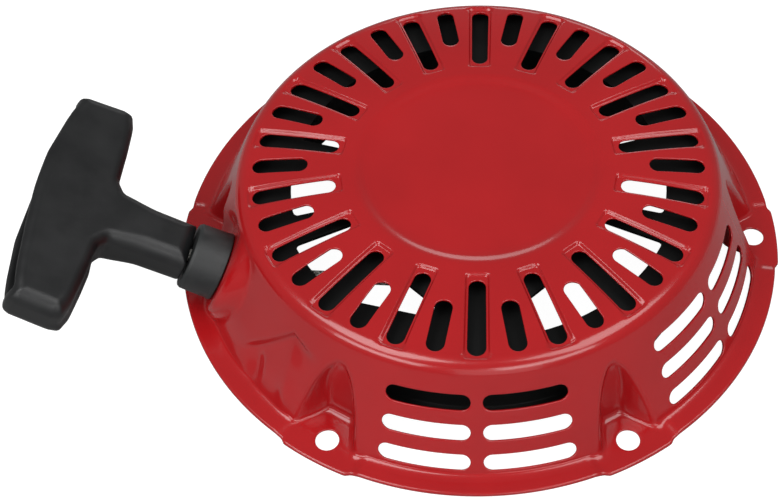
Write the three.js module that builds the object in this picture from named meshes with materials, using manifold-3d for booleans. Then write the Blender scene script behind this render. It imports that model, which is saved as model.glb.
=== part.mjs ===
// Recoil (pull) starter for a small horizontal-shaft engine.
// Millimetres, +Z up. The crank axis is the Z axis; the mounting flange stands on z = 0 with the fan grille facing up.
// The pull handle leaves towards -X.
import * as THREE from "three";
import { mergeVertices } from "three/addons/utils/BufferGeometryUtils.js";
import Module from "manifold-3d";

const wasm = await Module();
wasm.setup();
const { PI, cos, sin, sqrt, atan2 } = Math;
const rad = (deg) => (deg * PI) / 180;

// ---------------------------------------------------------------- driving dimensions (mm, degrees)
const SHEET = 1.6; // pressed steel thickness, cover and inner shroud
const TURN = 48; // segments round the cover

// cover
const TOP_Z = 45.3; // outside of the top plate
const DISC_R = 45.5; // flat recessed disc in the middle of the top
const DISC_DROP = 1.0;
const WALL_R0 = 110.8; // outside of the slanted wall, run down to z = 0
const WALL_SLOPE = 0.47; // radius lost per mm of height
const FLANGE_R = 117.4;
const EAR_R = 118.6; // flange radius over the bolt ears
const EAR_HALF = 7; // degrees either side of the bolt
const BOLT_R = 108.9; // bolt circle radius
const BOLT_HOLE_R = 4.3;
const BOLT_COUNT = 6;
const POCKET_R = 12; // scallop pressed into the wall over each bolt

// top slots, every 10 degrees, long ones on the odd tens
const SLOT_OUT = 85.5;
const SLOT_LONG_IN = 54.3;
const SLOT_SHORT_IN = 64.6;
const SLOT_W = 6.4;

// side slots: three rows, two columns in each of five sectors
const ROWS = [29.7, 18.5, 7.3];
const SIDE_H = 6.3; // height along the slope
const SIDE_COL = 10.25; // degrees from the sector's middle
const SIDE_HALF = 9.1; // half the slot's arc, degrees
const SIDE_SECTORS = [30, 90, 150, 270, 330];

// rope outlet and handle axis
const OUTLET = new THREE.Vector3(-97.2, -29.3, 19.5);
const PULL_AZ = 173.3; // heading of the pull, degrees from +X
const PULL_UP = 26.3; // its rise
const BOSS_R = 17;
const ROPE_R = 2.4;
const GUIDE_LEN = 13.3;
const GUIDE_R = 12.9;
const GUIDE_HOLE_R = 8.3;

// grip, measured along the pull axis from the outlet
const GRIP_NECK_D = 13.6;
const GRIP_BAR_D = 46.0;
const GRIP_CROWN_D = 74.8;
const GRIP_HALF = 49.3;
const GRIP_T = 18;

// inner shroud
const SHROUD_TOP_Z = 37.6;
const SHROUD_IN_R = 75.4;
const WINDOW_R = 71.6;
const FRONT_WINDOW_R = 72.7; // the window between 230 and 260 degrees
const WIDE_WINDOW_R = 75.2; // the windows between 206 and 222, and 284 and 335 degrees
const SHROUD_FLANGE_R = 90.5;
const SHROUD_FOOT_R = 81;
const SHROUD_FOOT_Z = 4;
const SHROUD_HUB_R = 27;
const ARMS = [
  [270, 14],
  [227, 4.5],
  [313, 4.5],
  [200.8, 5.2],
  [340.4, 5.1],
  [172.2, 7.7],
  [8.8, 8.7],
  [90, 14],
]; // middle and half width, degrees

// reel and its bearing
const POST_R = 6.8;
const REEL_BORE_R = 9.0;
const REEL_TOP_Z = 34.6;
const REEL_UPPER_R = 50;
const REEL_LOWER_R = 47.5;
const ROPE_CORE_R = 33.5;
const COIL_R = 46.3;
const RUN_Z = 28; // height of the rope where it leaves the reel
const RUN_R = 43.6; // radius at which it leaves

// pawls
const PAWL_PIVOT_R = 31;
const PAWL_OPEN = 30; // degrees
const GUIDE_TURN = 30; // degrees the ratchet guide lags the reel
const PEG = [-9, -5]; // peg on the pawl, from its pivot, pawl closed
const PEG_R = 1.8;

// ---------------------------------------------------------------- helpers
const V3 = (x, y, z) => new THREE.Vector3(x, y, z);

// A closed three.js geometry, optionally placed by a matrix, as a solid.
function solid(geometry, matrix) {
  const g = geometry.index ? geometry.toNonIndexed() : geometry.clone();
  const bare = new THREE.BufferGeometry().setAttribute(
    "position",
    g.getAttribute("position"),
  );
  if (matrix) bare.applyMatrix4(matrix);
  const m = mergeVertices(bare, 1e-4);
  const src = m.index.array;
  const tri = [];
  for (let i = 0; i < src.length; i += 3) {
    const [a, b, c] = [src[i], src[i + 1], src[i + 2]];
    if (a !== b && b !== c && a !== c) tri.push(a, b, c);
  }
  const make = (t) =>
    new wasm.Manifold(
      new wasm.Mesh({
        numProp: 3,
        vertProperties: new Float32Array(m.attributes.position.array),
        triVerts: new Uint32Array(t),
      }),
    );
  let s = make(tri);
  if (s.volume() < 0) {
    for (let i = 0; i < tri.length; i += 3)
      [tri[i + 1], tri[i + 2]] = [tri[i + 2], tri[i + 1]];
    s = make(tri);
  }
  return s;
}

function geometryOf(s) {
  const mesh = s.getMesh();
  const g = new THREE.BufferGeometry();
  g.setAttribute(
    "position",
    new THREE.BufferAttribute(new Float32Array(mesh.vertProperties), 3),
  );
  g.setIndex(new THREE.BufferAttribute(new Uint32Array(mesh.triVerts), 1));
  g.computeVertexNormals();
  return g;
}

const union = (list) => list.reduce((a, b) => a.add(b));
const cut = (a, list) => list.reduce((s, b) => s.subtract(b), a);

// Lathe about Z of a closed [r, z] profile.
const UPRIGHT = new THREE.Matrix4().makeRotationX(PI / 2);
function turned(profile, segments = 24) {
  const pts = profile.map(([r, z]) => new THREE.Vector2(Math.max(r, 0), z));
  const closed = profile[0][0] < 1e-9 && profile[profile.length - 1][0] < 1e-9;
  if (!closed) pts.push(pts[0].clone());
  return solid(new THREE.LatheGeometry(pts, segments), UPRIGHT);
}

// Cylinder about Z from z0 to z1.
function rod(r, z0, z1, x = 0, y = 0, segments = 20, r1 = r) {
  const g = new THREE.CylinderGeometry(r1, r, z1 - z0, segments);
  g.rotateX(PI / 2);
  g.translate(x, y, (z0 + z1) / 2);
  return solid(g);
}

function block(x0, x1, y0, y1, z0, z1, matrix) {
  const g = new THREE.BoxGeometry(x1 - x0, y1 - y0, z1 - z0);
  g.translate((x0 + x1) / 2, (y0 + y1) / 2, (z0 + z1) / 2);
  return solid(g, matrix);
}

function plate(shape, z0, z1, matrix, curveSegments = 6) {
  const g = new THREE.ExtrudeGeometry(shape, {
    depth: z1 - z0,
    bevelEnabled: false,
    curveSegments,
  });
  g.translate(0, 0, z0);
  return solid(g, matrix);
}

function outline(points, holes = []) {
  const s = new THREE.Shape(points.map(([x, y]) => new THREE.Vector2(x, y)));
  for (const h of holes)
    s.holes.push(new THREE.Path(h.map(([x, y]) => new THREE.Vector2(x, y))));
  return s;
}

// Rounded slot along X from x0 to x1, of width w.
function slotPoints(x0, x1, w, n = 2) {
  const r = w / 2;
  const out = [];
  for (let i = 0; i <= n; i++) {
    const a = -PI / 2 + (PI * i) / n;
    out.push([x1 - r + r * cos(a), r * sin(a)]);
  }
  for (let i = 0; i <= n; i++) {
    const a = PI / 2 + (PI * i) / n;
    out.push([x0 + r + r * cos(a), r * sin(a)]);
  }
  return out;
}

function arcBand(r0, r1, a0, a1, n) {
  const out = [];
  for (let i = 0; i <= n; i++) {
    const a = rad(a0 + ((a1 - a0) * i) / n);
    out.push([r1 * cos(a), r1 * sin(a)]);
  }
  for (let i = n; i >= 0; i--) {
    const a = rad(a0 + ((a1 - a0) * i) / n);
    out.push([r0 * cos(a), r0 * sin(a)]);
  }
  return out;
}

const aboutZ = (deg) => new THREE.Matrix4().makeRotationZ(rad(deg));

// Tube of round section along a curve.
function tube(curve, r, steps, sides) {
  const ring = [];
  for (let i = 0; i < sides; i++) {
    const a = (2 * PI * i) / sides;
    ring.push([r * cos(a), r * sin(a)]);
  }
  return solid(
    new THREE.ExtrudeGeometry(outline(ring), {
      steps,
      bevelEnabled: false,
      extrudePath: curve,
    }),
  );
}

// Frame of the pull axis: local x runs along the bar of the grip, y upwards from it, z out along the pull.
const PULL = V3(
  cos(rad(PULL_UP)) * cos(rad(PULL_AZ)),
  cos(rad(PULL_UP)) * sin(rad(PULL_AZ)),
  sin(rad(PULL_UP)),
);
const ALONG = V3(-sin(rad(PULL_AZ)), cos(rad(PULL_AZ)), 0).negate();
const OVER = new THREE.Vector3().crossVectors(PULL, ALONG);
if (OVER.z < 0) {
  OVER.negate();
  ALONG.negate();
}
const PULL_FRAME = new THREE.Matrix4()
  .makeBasis(ALONG, OVER, PULL)
  .setPosition(OUTLET);
const onPull = (s) => s.transform(PULL_FRAME.toArray());

const wallR = (z) => WALL_R0 - WALL_SLOPE * z;
const tilt = atan2(WALL_SLOPE, 1);
const wallGap = SHEET / cos(tilt);

const group = new THREE.Group();
function add(name, s, colour, roughness, metalness) {
  const mesh = new THREE.Mesh(
    geometryOf(s),
    new THREE.MeshStandardMaterial({ color: colour, roughness, metalness }),
  );
  mesh.name = name;
  group.add(mesh);
}

// ---------------------------------------------------------------- cover
{
  const rim = 42.6;
  let outer = turned(
    [
      [0, 0],
      [FLANGE_R, 0],
      [FLANGE_R, SHEET],
      [wallR(SHEET) + 2.2, SHEET],
      [wallR(4), 4],
      [wallR(40), 40],
      [wallR(rim) - 0.5, rim],
      [87.6, 44.6],
      [85.9, TOP_Z],
      [DISC_R + 2, TOP_Z],
      [DISC_R, TOP_Z - DISC_DROP],
      [0, TOP_Z - DISC_DROP],
    ],
    TURN,
  );
  let inner = turned(
    [
      [0, -1],
      [wallR(-1) - wallGap, -1],
      [wallR(39.2) - wallGap, 39.2],
      [wallR(rim) - wallGap - 0.9, rim - 1.2],
      [85.2, TOP_Z - SHEET],
      [DISC_R + 0.6, TOP_Z - SHEET],
      [DISC_R - 1, TOP_Z - DISC_DROP - SHEET],
      [0, TOP_Z - DISC_DROP - SHEET],
    ],
    TURN,
  );
  // raised seat for the rope outlet, square to the pull
  const seat = (r, face, back, grow) => {
    const g = new THREE.CylinderGeometry(r, r + grow, back, 16);
    g.rotateX(PI / 2);
    g.translate(0, 0, face - back / 2);
    return onPull(solid(g));
  };
  const front = (r, face) => {
    const g = new THREE.CylinderGeometry(r + 3, r, 30, 16);
    g.rotateX(PI / 2);
    g.translate(0, 0, face + 15);
    return onPull(solid(g));
  };
  const keep = rod(FLANGE_R - 0.5, 0, 60, 0, 0, TURN);
  outer = outer
    .subtract(front(BOSS_R, 0))
    .add(seat(BOSS_R, 0, 14, 8).intersect(keep));
  inner = inner
    .add(seat(BOSS_R - SHEET, -SHEET, 14, 8).intersect(rod(112, 0.5, 43, 0, 0, TURN)))
    .subtract(front(BOSS_R + SHEET, -SHEET));

  const bolts = [];
  for (let i = 0; i < BOLT_COUNT; i++) {
    const a = rad((360 / BOLT_COUNT) * i);
    bolts.push([BOLT_R * cos(a), BOLT_R * sin(a), (360 / BOLT_COUNT) * i]);
  }
  for (const [x, y, deg] of bolts) {
    outer = outer.subtract(rod(POCKET_R, SHEET, 60, x, y, 14));
    inner = inner.subtract(rod(POCKET_R + SHEET, -2, 60, x, y, 14));
    outer = outer.add(
      plate(
        outline(arcBand(112, EAR_R, deg - EAR_HALF, deg + EAR_HALF, 4)),
        0,
        SHEET,
      ),
    );
  }
  let cover = outer.subtract(inner);
  const holes = [];
  for (const [x, y] of bolts)
    holes.push(rod(BOLT_HOLE_R, -1, 4, x, y, 12));
  for (let i = 0; i < 36; i++) {
    const x0 = i % 2 ? SLOT_LONG_IN : SLOT_SHORT_IN;
    holes.push(
      plate(outline(slotPoints(x0, SLOT_OUT, SLOT_W)), 41, 50, aboutZ(i * 10)),
    );
  }
  for (const sector of SIDE_SECTORS)
    for (const side of [-1, 1])
      for (const z of ROWS) {
        const r = wallR(z);
        const half = r * rad(SIDE_HALF);
        const m = aboutZ(sector + side * SIDE_COL).multiply(
          new THREE.Matrix4()
            .makeTranslation(r, 0, z)
            .multiply(new THREE.Matrix4().makeRotationY(PI / 2 - tilt))
            .multiply(new THREE.Matrix4().makeRotationZ(PI / 2)),
        );
        holes.push(
          plate(outline(slotPoints(-half, half, SIDE_H)), -6, 4, m),
        );
      }
  cover = cut(cover, holes);
  // hole for the rope guide
  cover = cover.subtract(
    onPull(rod(GUIDE_HOLE_R, -8, 4, 0, 0, 16)),
  );
  const parts = cover.decompose().sort((a, b) => b.volume() - a.volume());
  add("case_cover", parts[0], 0xb3141c, 0.25, 0.1);
}

// ---------------------------------------------------------------- inner shroud
const guideBack = OUTLET.clone().addScaledVector(PULL, -6.2);
const reach = sqrt(guideBack.x ** 2 + guideBack.y ** 2);
const runAz = atan2(guideBack.y, guideBack.x) + Math.acos(RUN_R / reach);
const leave = V3(RUN_R * cos(runAz), RUN_R * sin(runAz), RUN_Z);
{
  const z1 = SHROUD_TOP_Z;
  const z0 = z1 - SHEET;
  const circle = (r, n) =>
    Array.from({ length: n }, (_, i) => [
      r * cos((2 * PI * i) / n),
      r * sin((2 * PI * i) / n),
    ]);
  // the part of an outline on one side of a straight line
  const keepSide = (poly, azimuth, distance, side) => {
    const nx = cos((azimuth * PI) / 180);
    const ny = sin((azimuth * PI) / 180);
    const out = [];
    poly.forEach(([x, y], i) => {
      const [u, v] = poly[(i + 1) % poly.length];
      const p = side * (nx * x + ny * y - distance);
      const q = side * (nx * u + ny * v - distance);
      if (p >= 0) out.push([x, y]);
      if (p > 0 !== q > 0) {
        const t = p / (p - q);
        out.push([x + (u - x) * t, y + (v - y) * t]);
      }
    });
    return out;
  };
  const arms = [...ARMS].sort((a, b) => a[0] - b[0]);
  const gaps = [];
  for (let i = 0; i < arms.length; i++) {
    const [a, wa] = arms[i];
    const next = arms[(i + 1) % arms.length];
    const b = next[0] + (i + 1 === arms.length ? 360 : 0);
    const from = a + wa;
    const to = b - next[1];
    const middle = (from + to) / 2;
    const wide = (middle > 284 && middle < 335) || (middle > 206 && middle < 222);
    const front = middle > 230 && middle < 260;
    if (to - from > 4) {
      let gap = arcBand(
        SHROUD_HUB_R,
        wide ? WIDE_WINDOW_R : front ? FRONT_WINDOW_R : WINDOW_R,
        from,
        to,
        Math.max(3, Math.round((to - from) / 8)),
      ).reverse();
      if (front) {
        gap = keepSide(gap, 226.2, 54.1, 1);
        gap = keepSide(gap, 255.8, 67.7, -1);
      }
      if (middle > 280 && middle < 310) gap = keepSide(gap, 313.8, 54.1, 1);
      gaps.push(gap);
    }
  }
  const deck = plate(outline(circle(SHROUD_FLANGE_R, 48), gaps), z0, z1);
  const wall = turned(
    [
      [SHROUD_IN_R, z1 - 0.1],
      [SHROUD_IN_R, z0 - 1],
      [SHROUD_FOOT_R, SHROUD_FOOT_Z],
      [SHROUD_FOOT_R + SHEET, SHROUD_FOOT_Z],
      [SHROUD_IN_R + SHEET, z0 - 1],
      [SHROUD_IN_R + SHEET, z1 - 0.1],
    ],
    48,
  );
  const line = new THREE.Vector3().subVectors(guideBack, leave).normalize();
  const across = V3(-line.y, line.x, 0).normalize();
  const window_ = block(
    35,
    95,
    -9,
    9,
    -20,
    7,
    new THREE.Matrix4()
      .makeBasis(V3(line.x, line.y, 0).normalize(), across, V3(0, 0, 1))
      .setPosition(V3(leave.x, leave.y, RUN_Z)),
  );
  const shroud = cut(union([deck, wall]), [
    rod(10.6, 20, 50, 0, 0, 24),
    window_,
  ]);
  const parts = shroud.decompose().sort((a, b) => b.volume() - a.volume());
  add("inner_shroud", parts[0], 0x17171a, 0.4, 0.2);
}

// ---------------------------------------------------------------- centre post, screw and washer
add(
  "centre_post",
  turned(
    [
      [0, 42.4],
      [17, 42.4],
      [17, 40.9],
      [9.5, 39.6],
      [9.5, 26.3],
      [POST_R, 26.3],
      [POST_R, 7.5],
      [3.3, 7.5],
      [3.3, 29],
      [0, 29],
    ],
    28,
  ),
  0x9a9c9e,
  0.4,
  0.9,
);
{
  const hex = [];
  for (let i = 0; i < 6; i++)
    hex.push([5.77 * cos((PI * i) / 3), 5.77 * sin((PI * i) / 3)]);
  add(
    "centre_screw",
    union([
      plate(outline(hex), 0, 4.4),
      rod(7.2, 4.3, 5.4, 0, 0, 24),
      rod(3, 5.3, 28.5, 0, 0, 16),
    ]),
    0xb8b6a8,
    0.35,
    0.9,
  );
}
add(
  "guide_washer",
  turned(
    [
      [3.3, 5.7],
      [10.5, 5.7],
      [10.5, 7.2],
      [3.3, 7.2],
    ],
    24,
  ),
  0xa9aaac,
  0.4,
  0.9,
);

// ---------------------------------------------------------------- recoil spring: flat spiral strip in the reel's cup
{
  const turns = 4.5;
  const n = Math.round(turns * 16);
  const r0 = 12.8;
  const r1 = 29.2;
  const t = 0.9;
  const a = [];
  const b = [];
  for (let i = 0; i <= n; i++) {
    const ang = (2 * PI * turns * i) / n;
    const r = r0 + ((r1 - r0) * i) / n;
    a.push([(r + t / 2) * cos(ang), (r + t / 2) * sin(ang)]);
    b.push([(r - t / 2) * cos(ang), (r - t / 2) * sin(ang)]);
  }
  b.unshift([10.2, -0.2]);
  a.unshift([10.2, -1.3]);
  add(
    "main_spring",
    plate(outline([...a, ...b.reverse()]), 24.9, 34.0),
    0x3d4148,
    0.35,
    0.9,
  );
}

// ---------------------------------------------------------------- reel
const knotAt = [41 * cos(rad(80)), 41 * sin(rad(80))];
{
  let reel = turned(
    [
      [REEL_BORE_R, 12.2],
      [12.2, 12.2],
      [12.2, 21.2],
      [REEL_LOWER_R, 21.2],
      [REEL_LOWER_R, 22.9],
      [ROPE_CORE_R, 22.9],
      [ROPE_CORE_R, 32.9],
      [REEL_UPPER_R, 32.9],
      [REEL_UPPER_R, REEL_TOP_Z],
      [30.8, REEL_TOP_Z],
      [30.8, 24.0],
      [REEL_BORE_R, 24.0],
    ],
    40,
  );
  reel = reel.subtract(rod(2.7, 20, 24, ...knotAt, 10));
  // lightening windows in the web, between the hub and the rope core
  for (const a of [45, 135, 225, 315])
    reel = reel.subtract(
      plate(outline(arcBand(16, 25, a - 16, a + 16, 3)), 20, 24.6),
    );
  add("reel", reel, 0x1d1d1f, 0.5, 0.1);
}
add(
  "reel_bush",
  turned(
    [
      [POST_R + 0.3, 12.2],
      [REEL_BORE_R - 0.3, 12.2],
      [REEL_BORE_R - 0.3, 25.9],
      [POST_R + 0.3, 25.9],
    ],
    24,
  ),
  0xa5814a,
  0.45,
  0.8,
);
add(
  "rope_coil",
  turned(
    [
      [ROPE_CORE_R + 0.3, 23.2],
      [COIL_R, 23.2],
      [COIL_R, 32.6],
      [ROPE_CORE_R + 0.3, 32.6],
    ],
    40,
  ),
  0xd8d8d2,
  0.8,
  0,
);
{
  const g = new THREE.SphereGeometry(3.9, 12, 8);
  g.rotateX(PI / 2);
  g.scale(1, 1, 0.78);
  g.translate(knotAt[0], knotAt[1], 17.6);
  add("reel_knot", solid(g), 0xd8d8d2, 0.8, 0);
}

// ---------------------------------------------------------------- pawls, their pins and return springs
const pegAt = (deg) => {
  const c = cos(rad(deg));
  const s = sin(rad(deg));
  return [
    PAWL_PIVOT_R + PEG[0] * c - PEG[1] * s,
    PEG[0] * s + PEG[1] * c,
  ];
};
for (const [tag, turn] of [
  ["a", 0],
  ["b", 180],
]) {
  const m = aboutZ(turn);
  const place = (s) => s.transform(m.toArray());
  // heel round the pin, a tapering arm to the driving nose, and the peg that rides in the guide
  const arm = outline([
    [PAWL_PIVOT_R + 5.2, 1.0],
    [PAWL_PIVOT_R + 3.6, -6],
    [PAWL_PIVOT_R + 4.2, -14],
    [PAWL_PIVOT_R + 5.4, -20.5],
    [PAWL_PIVOT_R + 4.4, -24.0],
    [PAWL_PIVOT_R - 1.8, -24.6],
    [PAWL_PIVOT_R - 3.0, -19],
    [PAWL_PIVOT_R - 4.2, -11],
    [PAWL_PIVOT_R - 11.3, -7.4],
    [PAWL_PIVOT_R - 11.3, -2.6],
    [PAWL_PIVOT_R - 5.2, 0.6],
  ]);
  const pawl = union([
    plate(arm, 13, 17.4),
    rod(5.4, 13, 17.4, PAWL_PIVOT_R, 0, 20),
    rod(PEG_R, 7.7, 13.4, PAWL_PIVOT_R + PEG[0], PEG[1], 12),
  ]).subtract(rod(2.8, 12, 19, PAWL_PIVOT_R, 0, 16));
  add("pawl_" + tag, place(pawl), 0x8d8f92, 0.4, 0.9);
  add(
    "pawl_pin_" + tag,
    place(
      union([
        rod(2.5, 12.2, 20.9, PAWL_PIVOT_R, 0, 16),
        rod(4.1, 11.6, 12.7, PAWL_PIVOT_R, 0, 16),
      ]),
    ),
    0xb5b7b9,
    0.35,
    0.9,
  );
  const coil = [];
  for (let i = 0; i <= 26; i++) {
    const a = (2 * PI * i) / 12;
    coil.push(
      V3(
        PAWL_PIVOT_R + 3.7 * cos(a),
        3.7 * sin(a),
        18.35 + (i / 26) * 1.95,
      ),
    );
  }
  coil.push(V3(PAWL_PIVOT_R + 5.5, 7, 20.3));
  coil.push(V3(PAWL_PIVOT_R + 6.5, 10, 20.3));
  add(
    "pawl_spring_" + tag,
    place(tube(new THREE.CatmullRomCurve3(coil), 0.4, 32, 5)),
    0xc9cacb,
    0.3,
    0.95,
  );
}

// ---------------------------------------------------------------- ratchet guide and its friction spring
{
  let guide = rod(31.2, 7.5, 9.3, 0, 0, 40);
  const cuts = [rod(POST_R + 0.4, 5, 12, 0, 0, 24)];
  for (const turn of [0, 180])
    for (let k = 0; k <= 5; k++) {
      const f = k / 5;
      const [x, y] = pegAt(PAWL_OPEN * f);
      const a = rad(turn - GUIDE_TURN * f);
      cuts.push(
        rod(
          PEG_R + 1.0,
          5,
          12,
          x * cos(a) - y * sin(a),
          x * sin(a) + y * cos(a),
          8,
        ),
      );
    }
  for (const a of [75, 255])
    cuts.push(plate(outline(arcBand(14, 24, a - 22, a + 22, 4)), 5, 12));
  guide = cut(guide, cuts);
  const lip = turned(
    [
      [29.6, 9.2],
      [31.2, 9.2],
      [31.2, 11],
      [29.6, 11],
    ],
    40,
  );
  add("ratchet_guide", guide.add(lip), 0x6d7073, 0.4, 0.9);
}
{
  const pts = [];
  for (let i = 0; i <= 28; i++) {
    const a = rad(20 + (320 * i) / 28);
    pts.push(V3(9.4 * cos(a), 9.4 * sin(a), 10.45));
  }
  pts.push(V3(12.5, -2.2, 10.45));
  pts.push(V3(17, -1.2, 10.45));
  add(
    "friction_spring",
    tube(new THREE.CatmullRomCurve3(pts), 0.8, 28, 6),
    0xc9cacb,
    0.3,
    0.95,
  );
}

// ---------------------------------------------------------------- rope guide, held in the cover by its own groove
{
  const g = GUIDE_HOLE_R - 0.4;
  add(
    "rope_guide",
    onPull(
      turned(
        [
          [3.6, 9.6],
          [3.3, 2],
          [3.5, -3],
          [5.2, -5.6],
          [10.2, -5.6],
          [11.4, -4.6],
          [11.4, -SHEET - 0.4],
          [g, -SHEET - 0.4],
          [g, 0.35],
          [GUIDE_R + 0.6, 0.35],
          [GUIDE_R, 2],
          [GUIDE_R - 0.1, GUIDE_LEN - 1.0],
          [GUIDE_R - 1.0, GUIDE_LEN],
          [11.6, GUIDE_LEN],
          [11.4, GUIDE_LEN - 0.8],
          [4.4, GUIDE_LEN - 2.2],
        ],
        28,
      ),
    ),
    0x1b1b1b,
    0.6,
    0,
  );
}

// ---------------------------------------------------------------- rope: inner run and the length that is pulled
{
  const end = leave.clone();
  const line = new THREE.Vector3().subVectors(guideBack, leave);
  const len = line.length();
  line.normalize();
  // the run stops where it meets the wound rope
  const start = end.clone().addScaledVector(line, 22.5);
  const g = new THREE.CylinderGeometry(ROPE_R, ROPE_R, len - 22.5, 8);
  g.rotateX(PI / 2);
  const q = new THREE.Quaternion().setFromUnitVectors(V3(0, 0, 1), line);
  const mid = start.clone().add(guideBack).multiplyScalar(0.5);
  add(
    "rope_run",
    solid(
      g,
      new THREE.Matrix4().compose(mid, q, V3(1, 1, 1)),
    ),
    0xd8d8d2,
    0.8,
    0,
  );
}
add(
  "pull_rope",
  onPull(rod(ROPE_R, -3.4, 60.6, 0, 0, 8)),
  0xd8d8d2,
  0.8,
  0,
);

// ---------------------------------------------------------------- grip, its washer and the rope's end knot
{
  const half = [];
  const bar = (h) => GRIP_CROWN_D - 0.0025 * h * h;
  const inner = (h) => GRIP_BAR_D + 0.0011 * h * h;
  half.push([10.2, GRIP_NECK_D]);
  half.push([10.6, GRIP_NECK_D + 10]);
  half.push([11.7, 36]);
  half.push([13.2, 41]);
  half.push([16.5, inner(16.5)]);
  half.push([30, inner(30)]);
  half.push([42, inner(42)]);
  half.push([46.4, inner(46) + 1.6]);
  half.push([GRIP_HALF, inner(48) + 5.5]);
  half.push([GRIP_HALF - 0.3, bar(48) - 5.5]);
  half.push([45.5, bar(45.5) - 0.6]);
  half.push([34, bar(34)]);
  half.push([17, bar(17)]);
  const mirror = half.map(([x, y]) => [-x, y]).reverse();
  const pts = [...half, [0, bar(0)], ...mirror];
  const shape = outline(pts);
  const BEVEL = 3.2;
  const g = new THREE.ExtrudeGeometry(shape, {
    depth: GRIP_T - 2 * BEVEL,
    bevelEnabled: true,
    bevelThickness: BEVEL,
    bevelSize: BEVEL,
    bevelOffset: -BEVEL,
    bevelSegments: 2,
  });
  // drawn as x along the bar, y along the pull; stood up so that y lies on the pull axis
  const stand = new THREE.Matrix4().makeBasis(
    V3(1, 0, 0),
    V3(0, 0, 1),
    V3(0, -1, 0),
  );
  g.translate(0, 0, -(GRIP_T - 2 * BEVEL) / 2);
  let grip = solid(g, stand);
  grip = cut(grip, [
    rod(ROPE_R + 0.4, 0, 80, 0, 0, 10),
    block(-34, 34, -4.6, 4.6, 63.5, 90),
  ]);
  add("grip", onPull(grip), 0x252527, 0.6, 0);
}
add(
  "grip_washer",
  onPull(
    turned(
      [
        [ROPE_R + 0.3, 63.8],
        [4.2, 63.8],
        [4.2, 65.0],
        [ROPE_R + 0.3, 65.0],
      ],
      16,
    ),
  ),
  0xb5b7b9,
  0.35,
  0.9,
);
{
  const s = new THREE.SphereGeometry(4.1, 12, 8);
  s.rotateX(PI / 2);
  s.scale(1, 1, 0.7);
  s.translate(0, 0, 68.3);
  add("grip_knot", onPull(solid(s)), 0xd8d8d2, 0.8, 0);
}

export default group;
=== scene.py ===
import math

import bmesh
import bpy
import numpy as np
from mathutils import Matrix, Vector

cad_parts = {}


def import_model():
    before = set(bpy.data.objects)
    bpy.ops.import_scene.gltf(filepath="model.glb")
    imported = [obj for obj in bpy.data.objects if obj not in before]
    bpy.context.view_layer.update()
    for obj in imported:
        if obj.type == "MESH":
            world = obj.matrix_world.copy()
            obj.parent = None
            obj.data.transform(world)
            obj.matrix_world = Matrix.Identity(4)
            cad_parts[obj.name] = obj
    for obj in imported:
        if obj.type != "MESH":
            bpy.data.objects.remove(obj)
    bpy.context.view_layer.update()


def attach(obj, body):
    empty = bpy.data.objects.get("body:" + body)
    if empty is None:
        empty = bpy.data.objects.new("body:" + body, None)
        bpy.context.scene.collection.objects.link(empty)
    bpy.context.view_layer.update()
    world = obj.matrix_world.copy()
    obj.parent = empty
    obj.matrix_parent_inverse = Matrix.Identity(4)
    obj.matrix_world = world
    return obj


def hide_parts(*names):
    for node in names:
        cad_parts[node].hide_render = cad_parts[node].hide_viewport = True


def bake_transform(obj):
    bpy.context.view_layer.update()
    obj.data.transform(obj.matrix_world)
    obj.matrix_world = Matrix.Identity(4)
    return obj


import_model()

MM = 0.001
SCENE = bpy.context.scene
SCENE.view_settings.view_transform = "Standard"

# ------------------------------------------------------------------ camera
EL = math.radians(51.35)
DIST = 0.63305
AIM = Vector((0.00787, 0.00101, 0.0))
back = Vector((0.0, -math.cos(EL), math.sin(EL)))
cam_data = bpy.data.cameras.new("camera")
cam_data.sensor_width = 36.0
cam_data.lens = 73.19
cam_data.shift_x = -0.1419
cam_data.shift_y = -0.0177
cam_data.clip_start = 0.01
cam_data.clip_end = 50
cam = bpy.data.objects.new("camera", cam_data)
SCENE.collection.objects.link(cam)
cam.location = AIM + back * DIST
cam.rotation_euler = (-back).to_track_quat("-Z", "Y").to_euler()
SCENE.camera = cam


# ------------------------------------------------------------------ small maths
def rad(d):
    return d * math.pi / 180.0


def smooth(a, b, x):
    t = np.clip((np.asarray(x, float) - a) / (b - a), 0, 1)
    return t * t * (3 - 2 * t)


def smin(a, b, k):
    h = np.maximum(k - np.abs(a - b), 0) / k
    return np.minimum(a, b) - h * h * k / 4


def smax(a, b, k):
    return -smin(-a, -b, k)


def srgb(r, g, b):
    return tuple(
        (c / 12.92 if c <= 0.04045 else ((c + 0.055) / 1.055) ** 2.4)
        for c in (r / 255, g / 255, b / 255)
    ) + (1.0,)


# ------------------------------------------------------------------ materials
def node_material(name):
    m = bpy.data.materials.new(name)
    m.use_nodes = True
    nt = m.node_tree
    return m, nt, nt.nodes["Principled BSDF"]


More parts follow.
